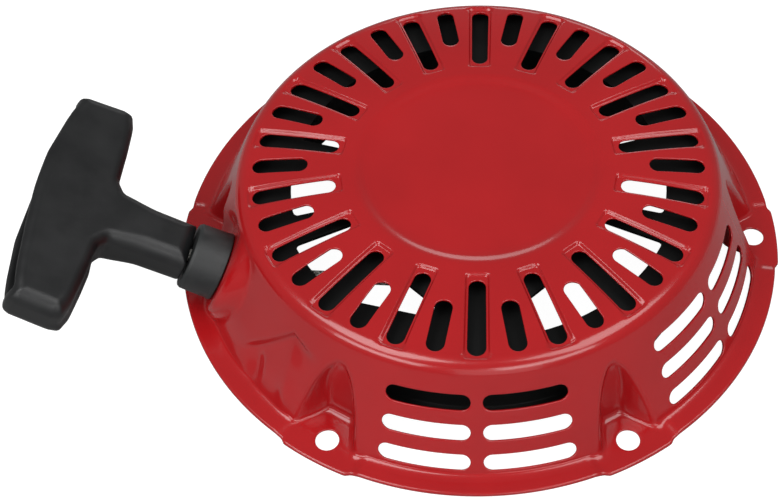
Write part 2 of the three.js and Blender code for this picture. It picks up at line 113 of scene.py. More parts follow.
def finish(
    name,
    colour,
    colour2,
    rough=0.4,
    rough2=None,
    metal=0.0,
    coat=0.0,
    coat_rough=0.05,
    mottle=60.0,
    grain=800.0,
    grain_h=0.00002,
    grain2=0.0,
    grain2_h=0.0,
    wear=0.0,
    wear_colour=(0.5, 0.5, 0.5, 1),
    ior=1.5,
    sheen=0.0,
):
    """A procedural surface: mottled colour, uneven roughness, fine relief, and lighter worn edges."""
    m, nt, p = node_material(name)
    n, l = nt.nodes, nt.links
    tc = n.new("ShaderNodeTexCoord")
    big = n.new("ShaderNodeTexNoise")
    big.inputs["Scale"].default_value = mottle
    big.inputs["Detail"].default_value = 4
    l.new(tc.outputs["Object"], big.inputs["Vector"])
    ramp = n.new("ShaderNodeMapRange")
    ramp.inputs["From Min"].default_value = 0.3
    ramp.inputs["From Max"].default_value = 0.7
    l.new(big.outputs["Fac"], ramp.inputs["Value"])
    mix = n.new("ShaderNodeMix")
    mix.data_type = "RGBA"
    mix.inputs[6].default_value = colour
    mix.inputs[7].default_value = colour2
    l.new(ramp.outputs["Result"], mix.inputs[0])
    last = mix.outputs[2]
    if wear > 0:
        geo = n.new("ShaderNodeNewGeometry")
        edge = n.new("ShaderNodeMapRange")
        edge.inputs["From Min"].default_value = 0.52
        edge.inputs["From Max"].default_value = 0.62
        edge.inputs["To Max"].default_value = wear
        l.new(geo.outputs["Pointiness"], edge.inputs["Value"])
        mix2 = n.new("ShaderNodeMix")
        mix2.data_type = "RGBA"
        mix2.inputs[7].default_value = wear_colour
        l.new(last, mix2.inputs[6])
        l.new(edge.outputs["Result"], mix2.inputs[0])
        last = mix2.outputs[2]
    l.new(last, p.inputs["Base Color"])
    rr = n.new("ShaderNodeMapRange")
    rr.inputs["From Min"].default_value = 0.25
    rr.inputs["From Max"].default_value = 0.75
    rr.inputs["To Min"].default_value = rough
    rr.inputs["To Max"].default_value = rough2 if rough2 is not None else rough * 1.25
    fine = n.new("ShaderNodeTexNoise")
    fine.inputs["Scale"].default_value = grain
    fine.inputs["Detail"].default_value = 3
    l.new(tc.outputs["Object"], fine.inputs["Vector"])
    l.new(big.outputs["Fac"], rr.inputs["Value"])
    l.new(rr.outputs["Result"], p.inputs["Roughness"])
    bump = n.new("ShaderNodeBump")
    bump.inputs["Strength"].default_value = 1.0
    bump.inputs["Distance"].default_value = grain_h
    l.new(fine.outputs["Fac"], bump.inputs["Height"])
    if grain2_h > 0:
        wide = n.new("ShaderNodeTexNoise")
        wide.inputs["Scale"].default_value = grain2
        wide.inputs["Detail"].default_value = 1
        l.new(tc.outputs["Object"], wide.inputs["Vector"])
        bump2 = n.new("ShaderNodeBump")
        bump2.inputs["Distance"].default_value = grain2_h
        l.new(wide.outputs["Fac"], bump2.inputs["Height"])
        l.new(bump.outputs["Normal"], bump2.inputs["Normal"])
        l.new(bump2.outputs["Normal"], p.inputs["Normal"])
    else:
        l.new(bump.outputs["Normal"], p.inputs["Normal"])
    p.inputs["Metallic"].default_value = metal
    p.inputs["IOR"].default_value = ior
    p.inputs["Coat Weight"].default_value = coat
    p.inputs["Coat Roughness"].default_value = coat_rough
    if sheen:
        p.inputs["Sheen Weight"].default_value = sheen
    return m


RED = finish(
    "red_enamel",
    srgb(171, 22, 26),
    srgb(161, 18, 22),
    rough=0.16,
    rough2=0.22,
    coat=0.32,
    coat_rough=0.03,
    mottle=25,
    grain=420,
    grain_h=0.000006,
    grain2=70,
    grain2_h=0.00003,
)
CUT_EDGE = finish(
    "painted_cut_edge",
    srgb(120, 52, 50),
    srgb(92, 38, 38),
    rough=0.35,
    rough2=0.5,
    coat=0.3,
    coat_rough=0.1,
    mottle=200,
    grain=1200,
    grain_h=0.00002,
)
BLACK_ENAMEL = finish(
    "black_enamel",
    srgb(8, 9, 9),
    srgb(12, 13, 13),
    rough=0.5,
    rough2=0.6,
    coat=0.0,
    coat_rough=0.15,
    mottle=40,
    grain=600,
    grain_h=0.00001,
)
for n_ in BLACK_ENAMEL.node_tree.nodes:
    if n_.type == "BSDF_PRINCIPLED":
        n_.inputs["Specular IOR Level"].default_value = 0.22
GRIP_PLASTIC = finish(
    "grip_plastic",
    srgb(17, 18, 19),
    srgb(24, 25, 26),
    rough=0.36,
    rough2=0.48,
    mottle=90,
    grain=2600,
    grain_h=0.000035,
    grain2=180,
    grain2_h=0.00005,
)
GUIDE_RUBBER = finish(
    "guide_rubber",
    srgb(28, 30, 31),
    srgb(40, 42, 42),
    rough=0.38,
    rough2=0.6,
    mottle=140,
    grain=1800,
    grain_h=0.00004,
    grain2=260,
    grain2_h=0.00006,
)
REEL_PLASTIC = finish(
    "reel_nylon",
    srgb(24, 25, 27),
    srgb(32, 33, 35),
    rough=0.42,
    rough2=0.55,
    mottle=120,
    grain=1500,
    grain_h=0.00003,
)
STEEL = finish(
    "steel",
    (0.36, 0.36, 0.35, 1),
    (0.25, 0.25, 0.25, 1),
    rough=0.32,
    rough2=0.45,
    metal=1.0,
    mottle=90,
    grain=900,
    grain_h=0.00001,
    wear=0.5,
    wear_colour=(0.6, 0.6, 0.6, 1),
)
ZINC = finish(
    "zinc_plate",
    (0.58, 0.56, 0.5, 1),
    (0.44, 0.43, 0.41, 1),
    rough=0.26,
    rough2=0.4,
    metal=1.0,
    mottle=150,
    grain=1500,
    grain_h=0.00001,
    wear=0.4,
    wear_colour=(0.75, 0.75, 0.74, 1),
)
SPRING_STRIP = finish(
    "spring_strip",
    (0.10, 0.12, 0.17, 1),
    (0.16, 0.15, 0.16, 1),
    rough=0.24,
    rough2=0.34,
    metal=1.0,
    mottle=60,
    grain=1200,
    grain_h=0.000006,
)
SPRING_WIRE = finish(
    "spring_wire",
    (0.62, 0.62, 0.62, 1),
    (0.5, 0.5, 0.5, 1),
    rough=0.22,
    rough2=0.3,
    metal=1.0,
    mottle=200,
    grain=2000,
    grain_h=0.000006,
)
BRONZE = finish(
    "sintered_bronze",
    (0.42, 0.27, 0.11, 1),
    (0.3, 0.19, 0.08, 1),
    rough=0.38,
    rough2=0.5,
    metal=1.0,
    mottle=400,
    grain=3000,
    grain_h=0.00003,
)


def braid(name):
    """Braided nylon: two families of oblique strands round the cord, from the object's own position."""
    m, nt, p = node_material(name)
    n, l = nt.nodes, nt.links
    tc = n.new("ShaderNodeTexCoord")
    vor = n.new("ShaderNodeTexVoronoi")
    vor.inputs["Scale"].default_value = 900
    l.new(tc.outputs["Object"], vor.inputs["Vector"])
    wave_a = n.new("ShaderNodeTexWave")
    wave_a.inputs["Scale"].default_value = 260
    wave_a.inputs["Distortion"].default_value = 0.6
    wave_a.bands_direction = "DIAGONAL"
    l.new(tc.outputs["Object"], wave_a.inputs["Vector"])
    mapping = n.new("ShaderNodeMapping")
    mapping.inputs["Scale"].default_value = (-1, 1, 1)
    l.new(tc.outputs["Object"], mapping.inputs["Vector"])
    wave_b = n.new("ShaderNodeTexWave")
    wave_b.inputs["Scale"].default_value = 260
    wave_b.inputs["Distortion"].default_value = 0.6
    wave_b.bands_direction = "DIAGONAL"
    l.new(mapping.outputs["Vector"], wave_b.inputs["Vector"])
    mx = n.new("ShaderNodeMath")
    mx.operation = "MAXIMUM"
    l.new(wave_a.outputs["Fac"], mx.inputs[0])
    l.new(wave_b.outputs["Fac"], mx.inputs[1])
    # colour follows the strand height: the crests are light and the grooves between strands darker, which is painted
    # shade
    mix = n.new("ShaderNodeMix")
    mix.data_type = "RGBA"
    mix.inputs[6].default_value = srgb(120, 118, 110)
    mix.inputs[7].default_value = srgb(216, 214, 206)
    l.new(mx.outputs[0], mix.inputs[0])
    l.new(mix.outputs[2], p.inputs["Base Color"])
    add = n.new("ShaderNodeMath")
    add.operation = "ADD"
    l.new(mx.outputs[0], add.inputs[0])
    sc = n.new("ShaderNodeMath")
    sc.operation = "MULTIPLY"
    sc.inputs[1].default_value = 0.35
    l.new(vor.outputs["Distance"], sc.inputs[0])
    l.new(sc.outputs[0], add.inputs[1])
    bump = n.new("ShaderNodeBump")
    bump.inputs["Distance"].default_value = 0.00025
    l.new(add.outputs[0], bump.inputs["Height"])
    l.new(bump.outputs["Normal"], p.inputs["Normal"])
    p.inputs["Roughness"].default_value = 0.78
    p.inputs["Sheen Weight"].default_value = 0.3
    return m


ROPE = braid("braided_rope")


# ------------------------------------------------------------------ mesh tools (all in millimetres until the end)
def make(name, verts, faces, material, body, nodes=(), angle=38, weld=0.0):
    me = bpy.data.meshes.new(name)
    me.from_pydata([tuple(v) for v in np.asarray(verts, float) * MM], [], [tuple(int(i) for i in f) for f in faces])
    if weld > 0:
        bm = bmesh.new()
        bm.from_mesh(me)
        bmesh.ops.remove_doubles(bm, verts=bm.verts, dist=weld * MM)
        bm.to_mesh(me)
        bm.free()
    me.validate()
    me.materials.append(material)
    ob = bpy.data.objects.new(name, me)
    SCENE.collection.objects.link(ob)
    shade(ob, angle)
    settle(ob, body, nodes)
    return ob


def shade(ob, angle=38):
    ob.data.polygons.foreach_set("use_smooth", [True] * len(ob.data.polygons))
    if angle:
        ob.data.set_sharp_from_angle(angle=rad(angle))
    ob.data.update()


def settle(ob, body, nodes):
    if body:
        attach(ob, body)
    if nodes:
        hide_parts(*nodes)


def apply_mods(ob):
    dg = bpy.context.evaluated_depsgraph_get()
    me = bpy.data.meshes.new_from_object(ob.evaluated_get(dg))
    ob.modifiers.clear()
    old = ob.data
    ob.data = me
    if old.users == 0:
        bpy.data.meshes.remove(old)


class Soup:
    """Quads gathered block by block, welded where blocks meet."""

    def __init__(self):
        self.v, self.f, self.n = [], [], 0

    def block(self, pts, closed=False):
        """pts: rows x cols x 3. Quads between neighbours; closed joins the last column to the first."""
        pts = np.asarray(pts, float)
        r, c = pts.shape[:2]
        idx = self.n + np.arange(r * c).reshape(r, c)
        self.v.append(pts.reshape(-1, 3))
        self.n += r * c
        nxt = np.roll(idx, -1, axis=1) if closed else None
        a = idx[:-1, :] if closed else idx[:-1, :-1]
        b = nxt[:-1, :] if closed else idx[:-1, 1:]
        cc = nxt[1:, :] if closed else idx[1:, 1:]
        d = idx[1:, :] if closed else idx[1:, :-1]
        self.f.append(np.stack([a, b, cc, d], -1).reshape(-1, 4))

    def zipper(self, pa, aa, pb, ab):
        """Triangles between two closed rings; pa, pb are points, aa, ab their angles, both rising."""
        ia = self.n + np.arange(len(pa))
        ib = self.n + len(pa) + np.arange(len(pb))
        self.v.append(np.vstack([pa, pb]))
        self.n += len(pa) + len(pb)
        i = j = 0
        tri = []
        A = list(aa) + [aa[0] + 360]
        B = list(ab) + [ab[0] + 360]
        while i < len(pa) or j < len(pb):
            if j >= len(pb) or (i < len(pa) and A[i + 1] <= B[j + 1]):
                tri.append((ia[i], ia[(i + 1) % len(pa)], ib[j % len(pb)], -1))
                i += 1
            else:
                tri.append((ia[i % len(pa)], ib[(j + 1) % len(pb)], ib[j], -1))
                j += 1
        self.f.append(np.array(tri))

    def welded(self, tol=0.01):
        v = np.vstack(self.v)
        key = np.round(v / tol).astype(np.int64)
        # one rounding: points that round to the same key become one
        _, first, inv = np.unique(key, axis=0, return_index=True, return_inverse=True)
        inv = inv.reshape(-1)
        v = v[first]
        faces = []
        for f in self.f:
            for q in f:
                q = [int(inv[i]) for i in q if i >= 0]
                out = [q[k] for k in range(len(q)) if q[k] != q[k - 1]]
                if len(out) >= 3:
                    faces.append(out)
        return v, faces


def merge_close(v, faces, tol):
    from mathutils.kdtree import KDTree

    kd = KDTree(len(v))
    for i, p in enumerate(v):
        kd.insert(p, i)
    kd.balance()
    to = np.arange(len(v))
    for i, p in enumerate(v):
        if to[i] != i:
            continue
        for _, j, _ in kd.find_range(p, tol):
            if j > i and to[j] == j:
                to[j] = i
    keep = np.flatnonzero(to == np.arange(len(v)))
    new = -np.ones(len(v), int)
    new[keep] = np.arange(len(keep))
    out = []
    for f in faces:
        q = [int(new[to[i]]) for i in f]
        q = [q[k] for k in range(len(q)) if q[k] != q[k - 1]]
        if len(set(q)) >= 3:
            out.append(q)
    return v[keep], out


def face_out(v, faces):
    """Turns every face the same way round, with the top ones facing up."""
    me = bpy.data.meshes.new("tmp")
    me.from_pydata([tuple(p) for p in v], [], [tuple(q) for q in faces])
    bm = bmesh.new()
    bm.from_mesh(me)
    bmesh.ops.recalc_face_normals(bm, faces=bm.faces)
    bm.verts.index_update()
    faces = [[w.index for w in q.verts] for q in bm.faces]
    v = np.array([tuple(w.co) for w in bm.verts])
    bm.free()
    bpy.data.meshes.remove(me)
    n = vertex_normals(v, faces)
    if float(n[int(np.argmin(np.hypot(v[:, 0], v[:, 1])))][2]) < 0:
        faces = [q[::-1] for q in faces]
    return v, faces


def vertex_normals(v, faces):
    n = np.zeros_like(v)
    for size in (3, 4):
        f = np.array([q for q in faces if len(q) == size], int)
        if not len(f):
            continue
        if size == 3:
            fn = np.cross(v[f[:, 1]] - v[f[:, 0]], v[f[:, 2]] - v[f[:, 0]])
        else:
            fn = np.cross(v[f[:, 2]] - v[f[:, 0]], v[f[:, 3]] - v[f[:, 1]])
        for k in range(size):
            np.add.at(n, f[:, k], fn)
    return n / np.maximum(np.linalg.norm(n, axis=1, keepdims=True), 1e-12)


def thicken(v, faces, t):
    """A sheet of thickness t under an open surface whose normals point out; its rims are closed."""
    n = vertex_normals(v, faces)
    count = len(v)
    edges = {}
    for f in faces:
        for k in range(len(f)):
            a, b = f[k], f[(k + 1) % len(f)]
            edges[(a, b)] = edges.get((a, b), 0) + 1
    rim = [(a, b) for (a, b) in edges if (b, a) not in edges]
    inner = v - n * t
    out = [list(f) for f in faces]
    out += [[i + count for i in reversed(f)] for f in faces]
    out += [[b, a, a + count, b + count] for a, b in rim]
    return np.vstack([v, inner]), out, len(rim)


def lathe(profile, segs=96, closed=True):
    """Verts and faces of a closed [r, z] profile turned about Z. Points at r = 0 become poles."""
    s = Soup()
    p = np.array(profile, float)
    if closed:
        p = np.vstack([p, p[:1]])
    a = np.linspace(0, 2 * np.pi, segs, endpoint=False)
    pts = np.stack(
        [
            p[:, 0][:, None] * np.cos(a)[None],
            p[:, 0][:, None] * np.sin(a)[None],
            np.repeat(p[:, 1][:, None], segs, 1),
        ],
        -1,
    )
    s.block(pts, closed=True)
    v, f = s.welded(0.002)
    return v, f


def rounded(profile, r, steps=3):
    """Rounds each corner of a closed 2-D polygon; r is one radius or one for each corner."""
    pts = [np.array(q[:2], float) for q in profile]
    rr = [q[2] if len(q) > 2 else r for q in profile]
    out = []
    m = len(pts)
    for i in range(m):
        a, b, c = pts[i - 1], pts[i], pts[(i + 1) % m]
        u, w = a - b, c - b
        lu, lw = np.linalg.norm(u), np.linalg.norm(w)
        if rr[i] <= 0 or lu < 1e-6 or lw < 1e-6:
            out.append(b)
            continue
        u, w = u / lu, w / lw
        cosang = np.clip(u @ w, -1, 1)
        half = math.acos(cosang) / 2
        if half > math.pi / 2 - 0.02 or half < 0.02:
            out.append(b)
            continue
        d = min(rr[i] / math.tan(half), 0.48 * lu, 0.48 * lw)
        p0, p1 = b + u * d, b + w * d
        for k in range(steps + 1):
            t = k / steps
            out.append((1 - t) ** 2 * p0 + 2 * t * (1 - t) * b + t * t * p1)
    return [tuple(q) for q in out]


def turned_piece(name, profile, r, material, body, nodes, segs=96, place=None, steps=3, angle=38):
    prof = rounded(profile, r, steps)
    area = sum(
        prof[i][0] * prof[(i + 1) % len(prof)][1] - prof[(i + 1) % len(prof)][0] * prof[i][1]
        for i in range(len(prof))
    )
    if area < 0:
        prof = prof[::-1]
    v, f = lathe(prof, segs)
    f = [q[::-1] for q in f]
    if signed_volume(v, f) < 0:
        f = [q[::-1] for q in f]
    if place is not None:
        v = place(v)
    return make(name, v, f, material, body, nodes, angle)


def signed_volume(v, faces):
    total = 0.0
    for q in faces:
        a = v[q[0]]
        for k in range(1, len(q) - 1):
            total += float(np.dot(a, np.cross(v[q[k]], v[q[k + 1]])))
    return total / 6


# ------------------------------------------------------------------ pull axis
PULL_AZ, PULL_UP = rad(173.3), rad(26.3)
OUTLET = np.array([-97.2, -29.3, 19.5])
D = np.array(
    [
        math.cos(PULL_UP) * math.cos(PULL_AZ),
        math.cos(PULL_UP) * math.sin(PULL_AZ),
        math.sin(PULL_UP),
    ]
)
H = -np.array([-math.sin(PULL_AZ), math.cos(PULL_AZ), 0.0])
OV = np.cross(D, H)
if OV[2] < 0:
    OV, H = -OV, -H


def on_pull(v):
    """x along the grip's bar, y up from it, z out along the pull."""
    v = np.asarray(v, float)
    return OUTLET + v[:, :1] * H + v[:, 1:2] * OV + v[:, 2:3] * D


# ------------------------------------------------------------------ the pressed cover
SHEET = 1.15
BOLT_R = 108.9
HOLE_R = 4.3
WALL_TOP = 40.76
SLOPE = 0.47
TILT = math.atan(SLOPE)


def plate_z(r):
    z = 45.3 - 1.75 * np.clip((r - 55) / 31, 0, None) ** 2
    return z - 1.3 * (1 - smooth(41.8, 47.6, r))


def capsule_distance(x, y, c0, c1, r0, r1):
    t = np.clip((x - c0) / (c1 - c0), 0, 1)
    return np.hypot(x - (c0 + t * (c1 - c0)), y) - (r0 + t * (r1 - r0))


LONG = dict(c0=54.3 + 3.1, c1=85.6 - 3.35, r0=3.1, r1=3.35)
SHORT = dict(c0=64.6 + 3.25, c1=85.6 - 3.3, r0=3.25, r1=3.3)


def dish(x, y):
    """Depth of the pressed border round the long slots, at a point of the top plate."""
    az = np.degrees(np.arctan2(y, x))
    near = np.round((az - 10) / 20) * 20 + 10
    da = np.radians(az - near)
    r = np.hypot(x, y)
    u, w = r * np.cos(da), r * np.sin(da)
    # a rectangle with rounded corners, a little wider outwards
    hw = 4.45 + 0.35 * np.clip((u - 54) / 32, 0, 1)
    cu, hu, rc = 69.6, 18.0, 1.5
    qx, qy = np.abs(u - cu) - hu + rc, np.abs(w) - hw + rc
    sd = np.minimum(np.maximum(qx, qy), 0) + np.hypot(np.maximum(qx, 0), np.maximum(qy, 0)) - rc
    return 1.1 * (1 - smooth(-1.0, 0.15, sd))


def top_point(x, y):
    r = np.hypot(x, y)
    return np.stack([x, y, plate_z(r) - dish(x, y)], -1)


ROLL = [(0.0, 0.42), (0.02, 0.2), (0.1, 0.07), (0.24, 0.0)]

RI, RO = 50.0, 86.7
M_SIDE, K_END = 34, 12


def cell_half(r, long_):
    a = 6.9 - 1.9 * smooth(54, 80, r)
    return a if long_ else 10.0 - a


def side_r():
    return np.linspace(RI, RO, M_SIDE + 1)


def top_cell(soup, centre, long_):
    sl = LONG if long_ else SHORT
    rr = side_r()
    m0 = 3 if long_ else 10
    m1 = 2
    # boundary, anticlockwise seen from above in the cell's own frame: out along -a, across the outer end, back along +a, across the inner end
    bnd = []
    for i in range(M_SIDE):
        bnd.append((rr[i], -cell_half(rr[i], long_)))
    for i in range(K_END):
        bnd.append((RO, -cell_half(RO, long_) + 2 * cell_half(RO, long_) * i / K_END))
    for i in range(M_SIDE):
        q = rr[M_SIDE - i]
        bnd.append((q, cell_half(q, long_)))
    for i in range(K_END):
        bnd.append((RI, cell_half(RI, long_) - 2 * cell_half(RI, long_) * i / K_END))
    bnd = np.array(bnd, float)
    bx = bnd[:, 0] * np.cos(np.radians(bnd[:, 1]))
    by = bnd[:, 0] * np.sin(np.radians(bnd[:, 1]))
    # slot outline: centre line point and outward direction for each boundary point
    n_in, n_out = K_END + 2 * m0, K_END + 2 * m1
    straight = M_SIDE - m0 - m1
    base, direc, rad_ = [], [], []

    def put(c, ang, r):
        base.append((c, 0.0))
        direc.append((math.cos(ang), math.sin(ang)))
        rad_.append(r)

    total = 2 * M_SIDE + 2 * K_END
    for i in range(total):
        if i < M_SIDE:
            if i <= m0:
                f = (K_END + m0 + i) / n_in  # along the inner end, ends at -90 deg
                put(sl["c0"], math.pi / 2 + math.pi * f, sl["r0"])
            elif i <= M_SIDE - m1:
                t = (i - m0) / straight
                put(sl["c0"] + t * (sl["c1"] - sl["c0"]), -math.pi / 2, sl["r0"] + t * (sl["r1"] - sl["r0"]))
            else:
                f = (i - (M_SIDE - m1)) / n_out
                put(sl["c1"], -math.pi / 2 + math.pi * f, sl["r1"])
        elif i < M_SIDE + K_END:
            f = (m1 + i - M_SIDE) / n_out
            put(sl["c1"], -math.pi / 2 + math.pi * f, sl["r1"])
        elif i < 2 * M_SIDE + K_END:
            j = i - M_SIDE - K_END
            if j <= m1:
                f = (m1 + K_END + j) / n_out
                put(sl["c1"], -math.pi / 2 + math.pi * f, sl["r1"])
            elif j <= M_SIDE - m0:
                t = 1 - (j - m1) / straight
                put(sl["c0"] + t * (sl["c1"] - sl["c0"]), math.pi / 2, sl["r0"] + t * (sl["r1"] - sl["r0"]))
            else:
                f = (j - (M_SIDE - m0)) / n_in
                put(sl["c0"], math.pi / 2 + math.pi * f, sl["r0"])
        else:
            f = (m0 + i - 2 * M_SIDE - K_END) / n_in
            put(sl["c0"], math.pi / 2 + math.pi * f, sl["r0"])
    base, direc, rad_ = np.array(base), np.array(direc), np.array(rad_)
    ca, sa = math.cos(rad(centre)), math.sin(rad(centre))
    rows = []

    def world(x, y, drop):
        X, Y = x * ca - y * sa, x * sa + y * ca
        p = top_point(X, Y)
        p[:, 2] -= drop
        return p

    for off, drop in ROLL:
        q = base + direc * (rad_ + off)[:, None]
        rows.append(world(q[:, 0], q[:, 1], drop))
    q0 = base + direc * (rad_ + ROLL[-1][0])[:, None]
    steps = 15 if long_ else 8
    for k in range(1, steps + 1):
        t = k / steps
        if not long_:
            t = t ** 1.25
        q = q0 * (1 - t) + np.stack([bx, by], -1) * t
        rows.append(world(q[:, 0], q[:, 1], 0.0))
    pts = np.array(rows)
    soup.block(pts[::-1], closed=True)


def ring_az():
    """Azimuths (degrees, rising from -6.9 - ...) of the top plate's vertices on a ring."""
    out = []
    for i in range(36):
        long_ = i % 2 == 1
        h = float(cell_half(RO, long_))
        for k in range(K_END):
            out.append(i * 10 - h + 2 * h * k / K_END)
    return np.array(out)


def inner_ring_az():
    out = []
    for i in range(36):
        long_ = i % 2 == 1
        h = float(cell_half(RI, long_))
        for k in range(K_END):
            out.append(i * 10 - h + 2 * h * k / K_END)
    return np.array(out)


# wall: outward radius at an azimuth and height
B_DOT = float(OUTLET @ D)


def wall_radius(az, z):
    az = np.asarray(az, float)
    z = np.asarray(z, float)
    base = 110.8 - SLOPE * z
    ear = np.round(az / 60) * 60
    phi = np.radians(az - ear)
    t = BOLT_R * np.sin(phi)
    up = np.clip(z / 33.0, 0, 1)
    wide = 1 + 0.3 * ((ear % 360) == 240) * (t < 0)
    arch = 11.6 * np.power(np.clip(1 - np.power(up, 1.7), 0, 1), 0.6) * wide
    floor_ = 97.5 - 2.4 * up
    w0 = np.clip(arch - (base - floor_) / 1.75, 0, None)
    side = smax(0 * t, (np.abs(t) - w0) * 1.75, 2.6) - 0.3
    rp = (floor_ + side) / np.cos(phi) + 40 * smooth(32.0, 36.0, z)
    r = smin(base, rp, 2.4)
    # shallow creases pressed beside the outlet
    u = np.radians(az - 225) * 100
    def seg(u0, z0_, u1, z1_):
        eu, ez = u1 - u0, z1_ - z0_
        L = math.hypot(eu, ez)
        along = ((u - u0) * eu + (z - z0_) * ez) / L
        off = ((u - u0) * ez - (z - z0_) * eu) / L
        return along / L, off
    a1, o1 = seg(-24.8, 7.0, 1.9, 33.2)
    a2, o2 = seg(1.9, 33.2, 18.9, 29.5)
    o12 = np.minimum(o1, o2)
    crease = smooth(0.0, 2.6, o12) * (1 - smooth(2.6, 12.0, o12)) * smooth(-0.02, 0.5, a1) * (1 - smooth(0.1, 1.0, a2))
    r = r - 2.2 * crease
    r = r - 2.0 * np.exp(-(((u + 10.5) / 3.6) ** 2 + ((z - 8.6) / 4.6) ** 2))
    r = r + 1.3 * np.exp(-(((u - 6.5) / 3.4) ** 2 + ((z - 10.5) / 6.5) ** 2))
    # seat of the rope outlet
    a = np.radians(az)
    den = np.cos(a) * D[0] + np.sin(a) * D[1]
    ok = den > 0.4
    rpl = np.where(ok, (B_DOT - z * D[2]) / np.where(ok, den, 1), base)
    p = np.stack([rpl * np.cos(a), rpl * np.sin(a), z + 0 * rpl], -1) - OUTLET
    ph = p @ H
    po = p @ OV
    right = np.clip(ph, 0, None)
    left = np.clip(-ph, 0, None)
    dist = np.sqrt((right / 1.05) ** 2 + (left / 1.0) ** 2 + (po / 1.0) ** 2)
    w = np.where(ok, 1 - smooth(14.5, 26.0, dist), 0)
    return r * (1 - w) + rpl * w


def cyl(az, r, z):
    a = np.radians(az)
    return np.stack([r * np.cos(a), r * np.sin(a), z + 0 * r], -1)


def wall_point(az, z):
    return cyl(az, wall_radius(az, z), np.asarray(z, float))


def wall_normal(az, z):
    e = 0.05
    pa = wall_point(az + e, z) - wall_point(az - e, z)
    pz = wall_point(az, z + e) - wall_point(az, z - e)
    n = np.cross(pa, pz)
    return n / np.linalg.norm(n, axis=-1, keepdims=True)


ROWS_Z = [29.7, 18.5, 7.3]
ROW_EDGES = [36.5, 24.1, 12.9, 2.8]
COL_W = 20.3
SECTORS = [30, 90, 150, 270, 330]
K2, M2 = 22, 8


def wall_rows():
    z = []
    for i in range(3):
        z += list(np.linspace(ROW_EDGES[i], ROW_EDGES[i + 1], M2 + 1)[:-1])
    return np.array(z + [ROW_EDGES[3]])


def slot_cell(soup, a0, a1, z0, z1, ac, zc):
    """One side slot in the cell a0..a1 (degrees), z0 (top) .. z1."""
    rc = 110.8 - SLOPE * zc
    half = rc * rad(9.0)
    hr = 3.25
    L = half - hr
    m = 3  # of each K2 side, the segments given to the round ends

    def metric(a, z):
        return rad(1) * (a - ac) * rc, (z - zc) / math.cos(TILT)

    bnd = []
    for i in range(K2):
        bnd.append((a0 + (a1 - a0) * i / K2, z1))
    for i in range(M2):
        bnd.append((a1, z1 + (z0 - z1) * i / M2))
    for i in range(K2):
        bnd.append((a1 + (a0 - a1) * i / K2, z0))
    for i in range(M2):
        bnd.append((a0, z0 + (z1 - z0) * i / M2))
    bnd = np.array(bnd)
    bx, by = metric(bnd[:, 0], bnd[:, 1])
    n_end = M2 + 2 * m
    straight = K2 - 2 * m
    base, direc = [], []

    def put(x, ang):
        base.append((x, 0.0))
        direc.append((math.cos(ang), math.sin(ang)))

    for i in range(2 * K2 + 2 * M2):
        if i < K2:
            if i <= m:
                put(-L, math.pi / 2 + math.pi * (M2 + m + i) / n_end)
            elif i <= K2 - m:
                put(-L + 2 * L * (i - m) / straight, -math.pi / 2)
            else:
                put(L, -math.pi / 2 + math.pi * (i - K2 + m) / n_end)
        elif i < K2 + M2:
            put(L, -math.pi / 2 + math.pi * (m + i - K2) / n_end)
        elif i < 2 * K2 + M2:
            j = i - K2 - M2
            if j <= m:
                put(L, -math.pi / 2 + math.pi * (m + M2 + j) / n_end)
            elif j <= K2 - m:
                put(L - 2 * L * (j - m) / straight, math.pi / 2)
            else:
                put(-L, math.pi / 2 + math.pi * (j - K2 + m) / n_end)
        else:
            put(-L, math.pi / 2 + math.pi * (m + i - 2 * K2 - M2) / n_end)
    base, direc = np.array(base), np.array(direc)

    def world(q, drop):
        az = ac + np.degrees(q[:, 0] / rc)
        z = zc + q[:, 1] * math.cos(TILT)
        p = wall_point(az, z)
        if drop:
            p = p - wall_normal(az, z) * drop
        return p

    rows = []
    for off, drop in ROLL:
        rows.append(world(base + direc * (hr + off), drop))
    q0 = base + direc * (hr + ROLL[-1][0])
    B = np.stack([bx, by], -1)
    steps = 5
    for k in range(1, steps + 1):
        t = k / steps
        if k == steps:
            rows.append(wall_point(bnd[:, 0], bnd[:, 1]))
        else:
            rows.append(world(q0 * (1 - t) + B * t, 0))
    soup.block(np.array(rows)[::-1], closed=True)


def wall_azimuths():
    """Every azimuth of the wall's vertex columns, rising through one turn from sector 30's left edge."""
    out = []
    marks = []
    for s in range(6):
        c = 30 + 60 * s
        if c in SECTORS:
            marks.append((c - COL_W, c, K2))
            marks.append((c, c + COL_W, K2))
            marks.append((c + COL_W, c + 60 - COL_W, 48))
        else:
            marks.append((c - COL_W, c + COL_W, 2 * K2 + 30))
            marks.append((c + COL_W, c + 60 - COL_W, 48))
    for a, b, n in marks:
        out += list(np.linspace(a, b, n + 1)[:-1])
    return np.array(out), marks


def edge_radius(az):
    ear = np.round(az / 60) * 60
    return 117.3 + 1.2 * (1 - smooth(6.2, 7.6, np.abs(az - ear)))


def flange_top(az):
    ear = np.round(az / 60) * 60
    return 1.5 + 0.9 * smooth(7.0, 9.2, np.abs(az - ear))


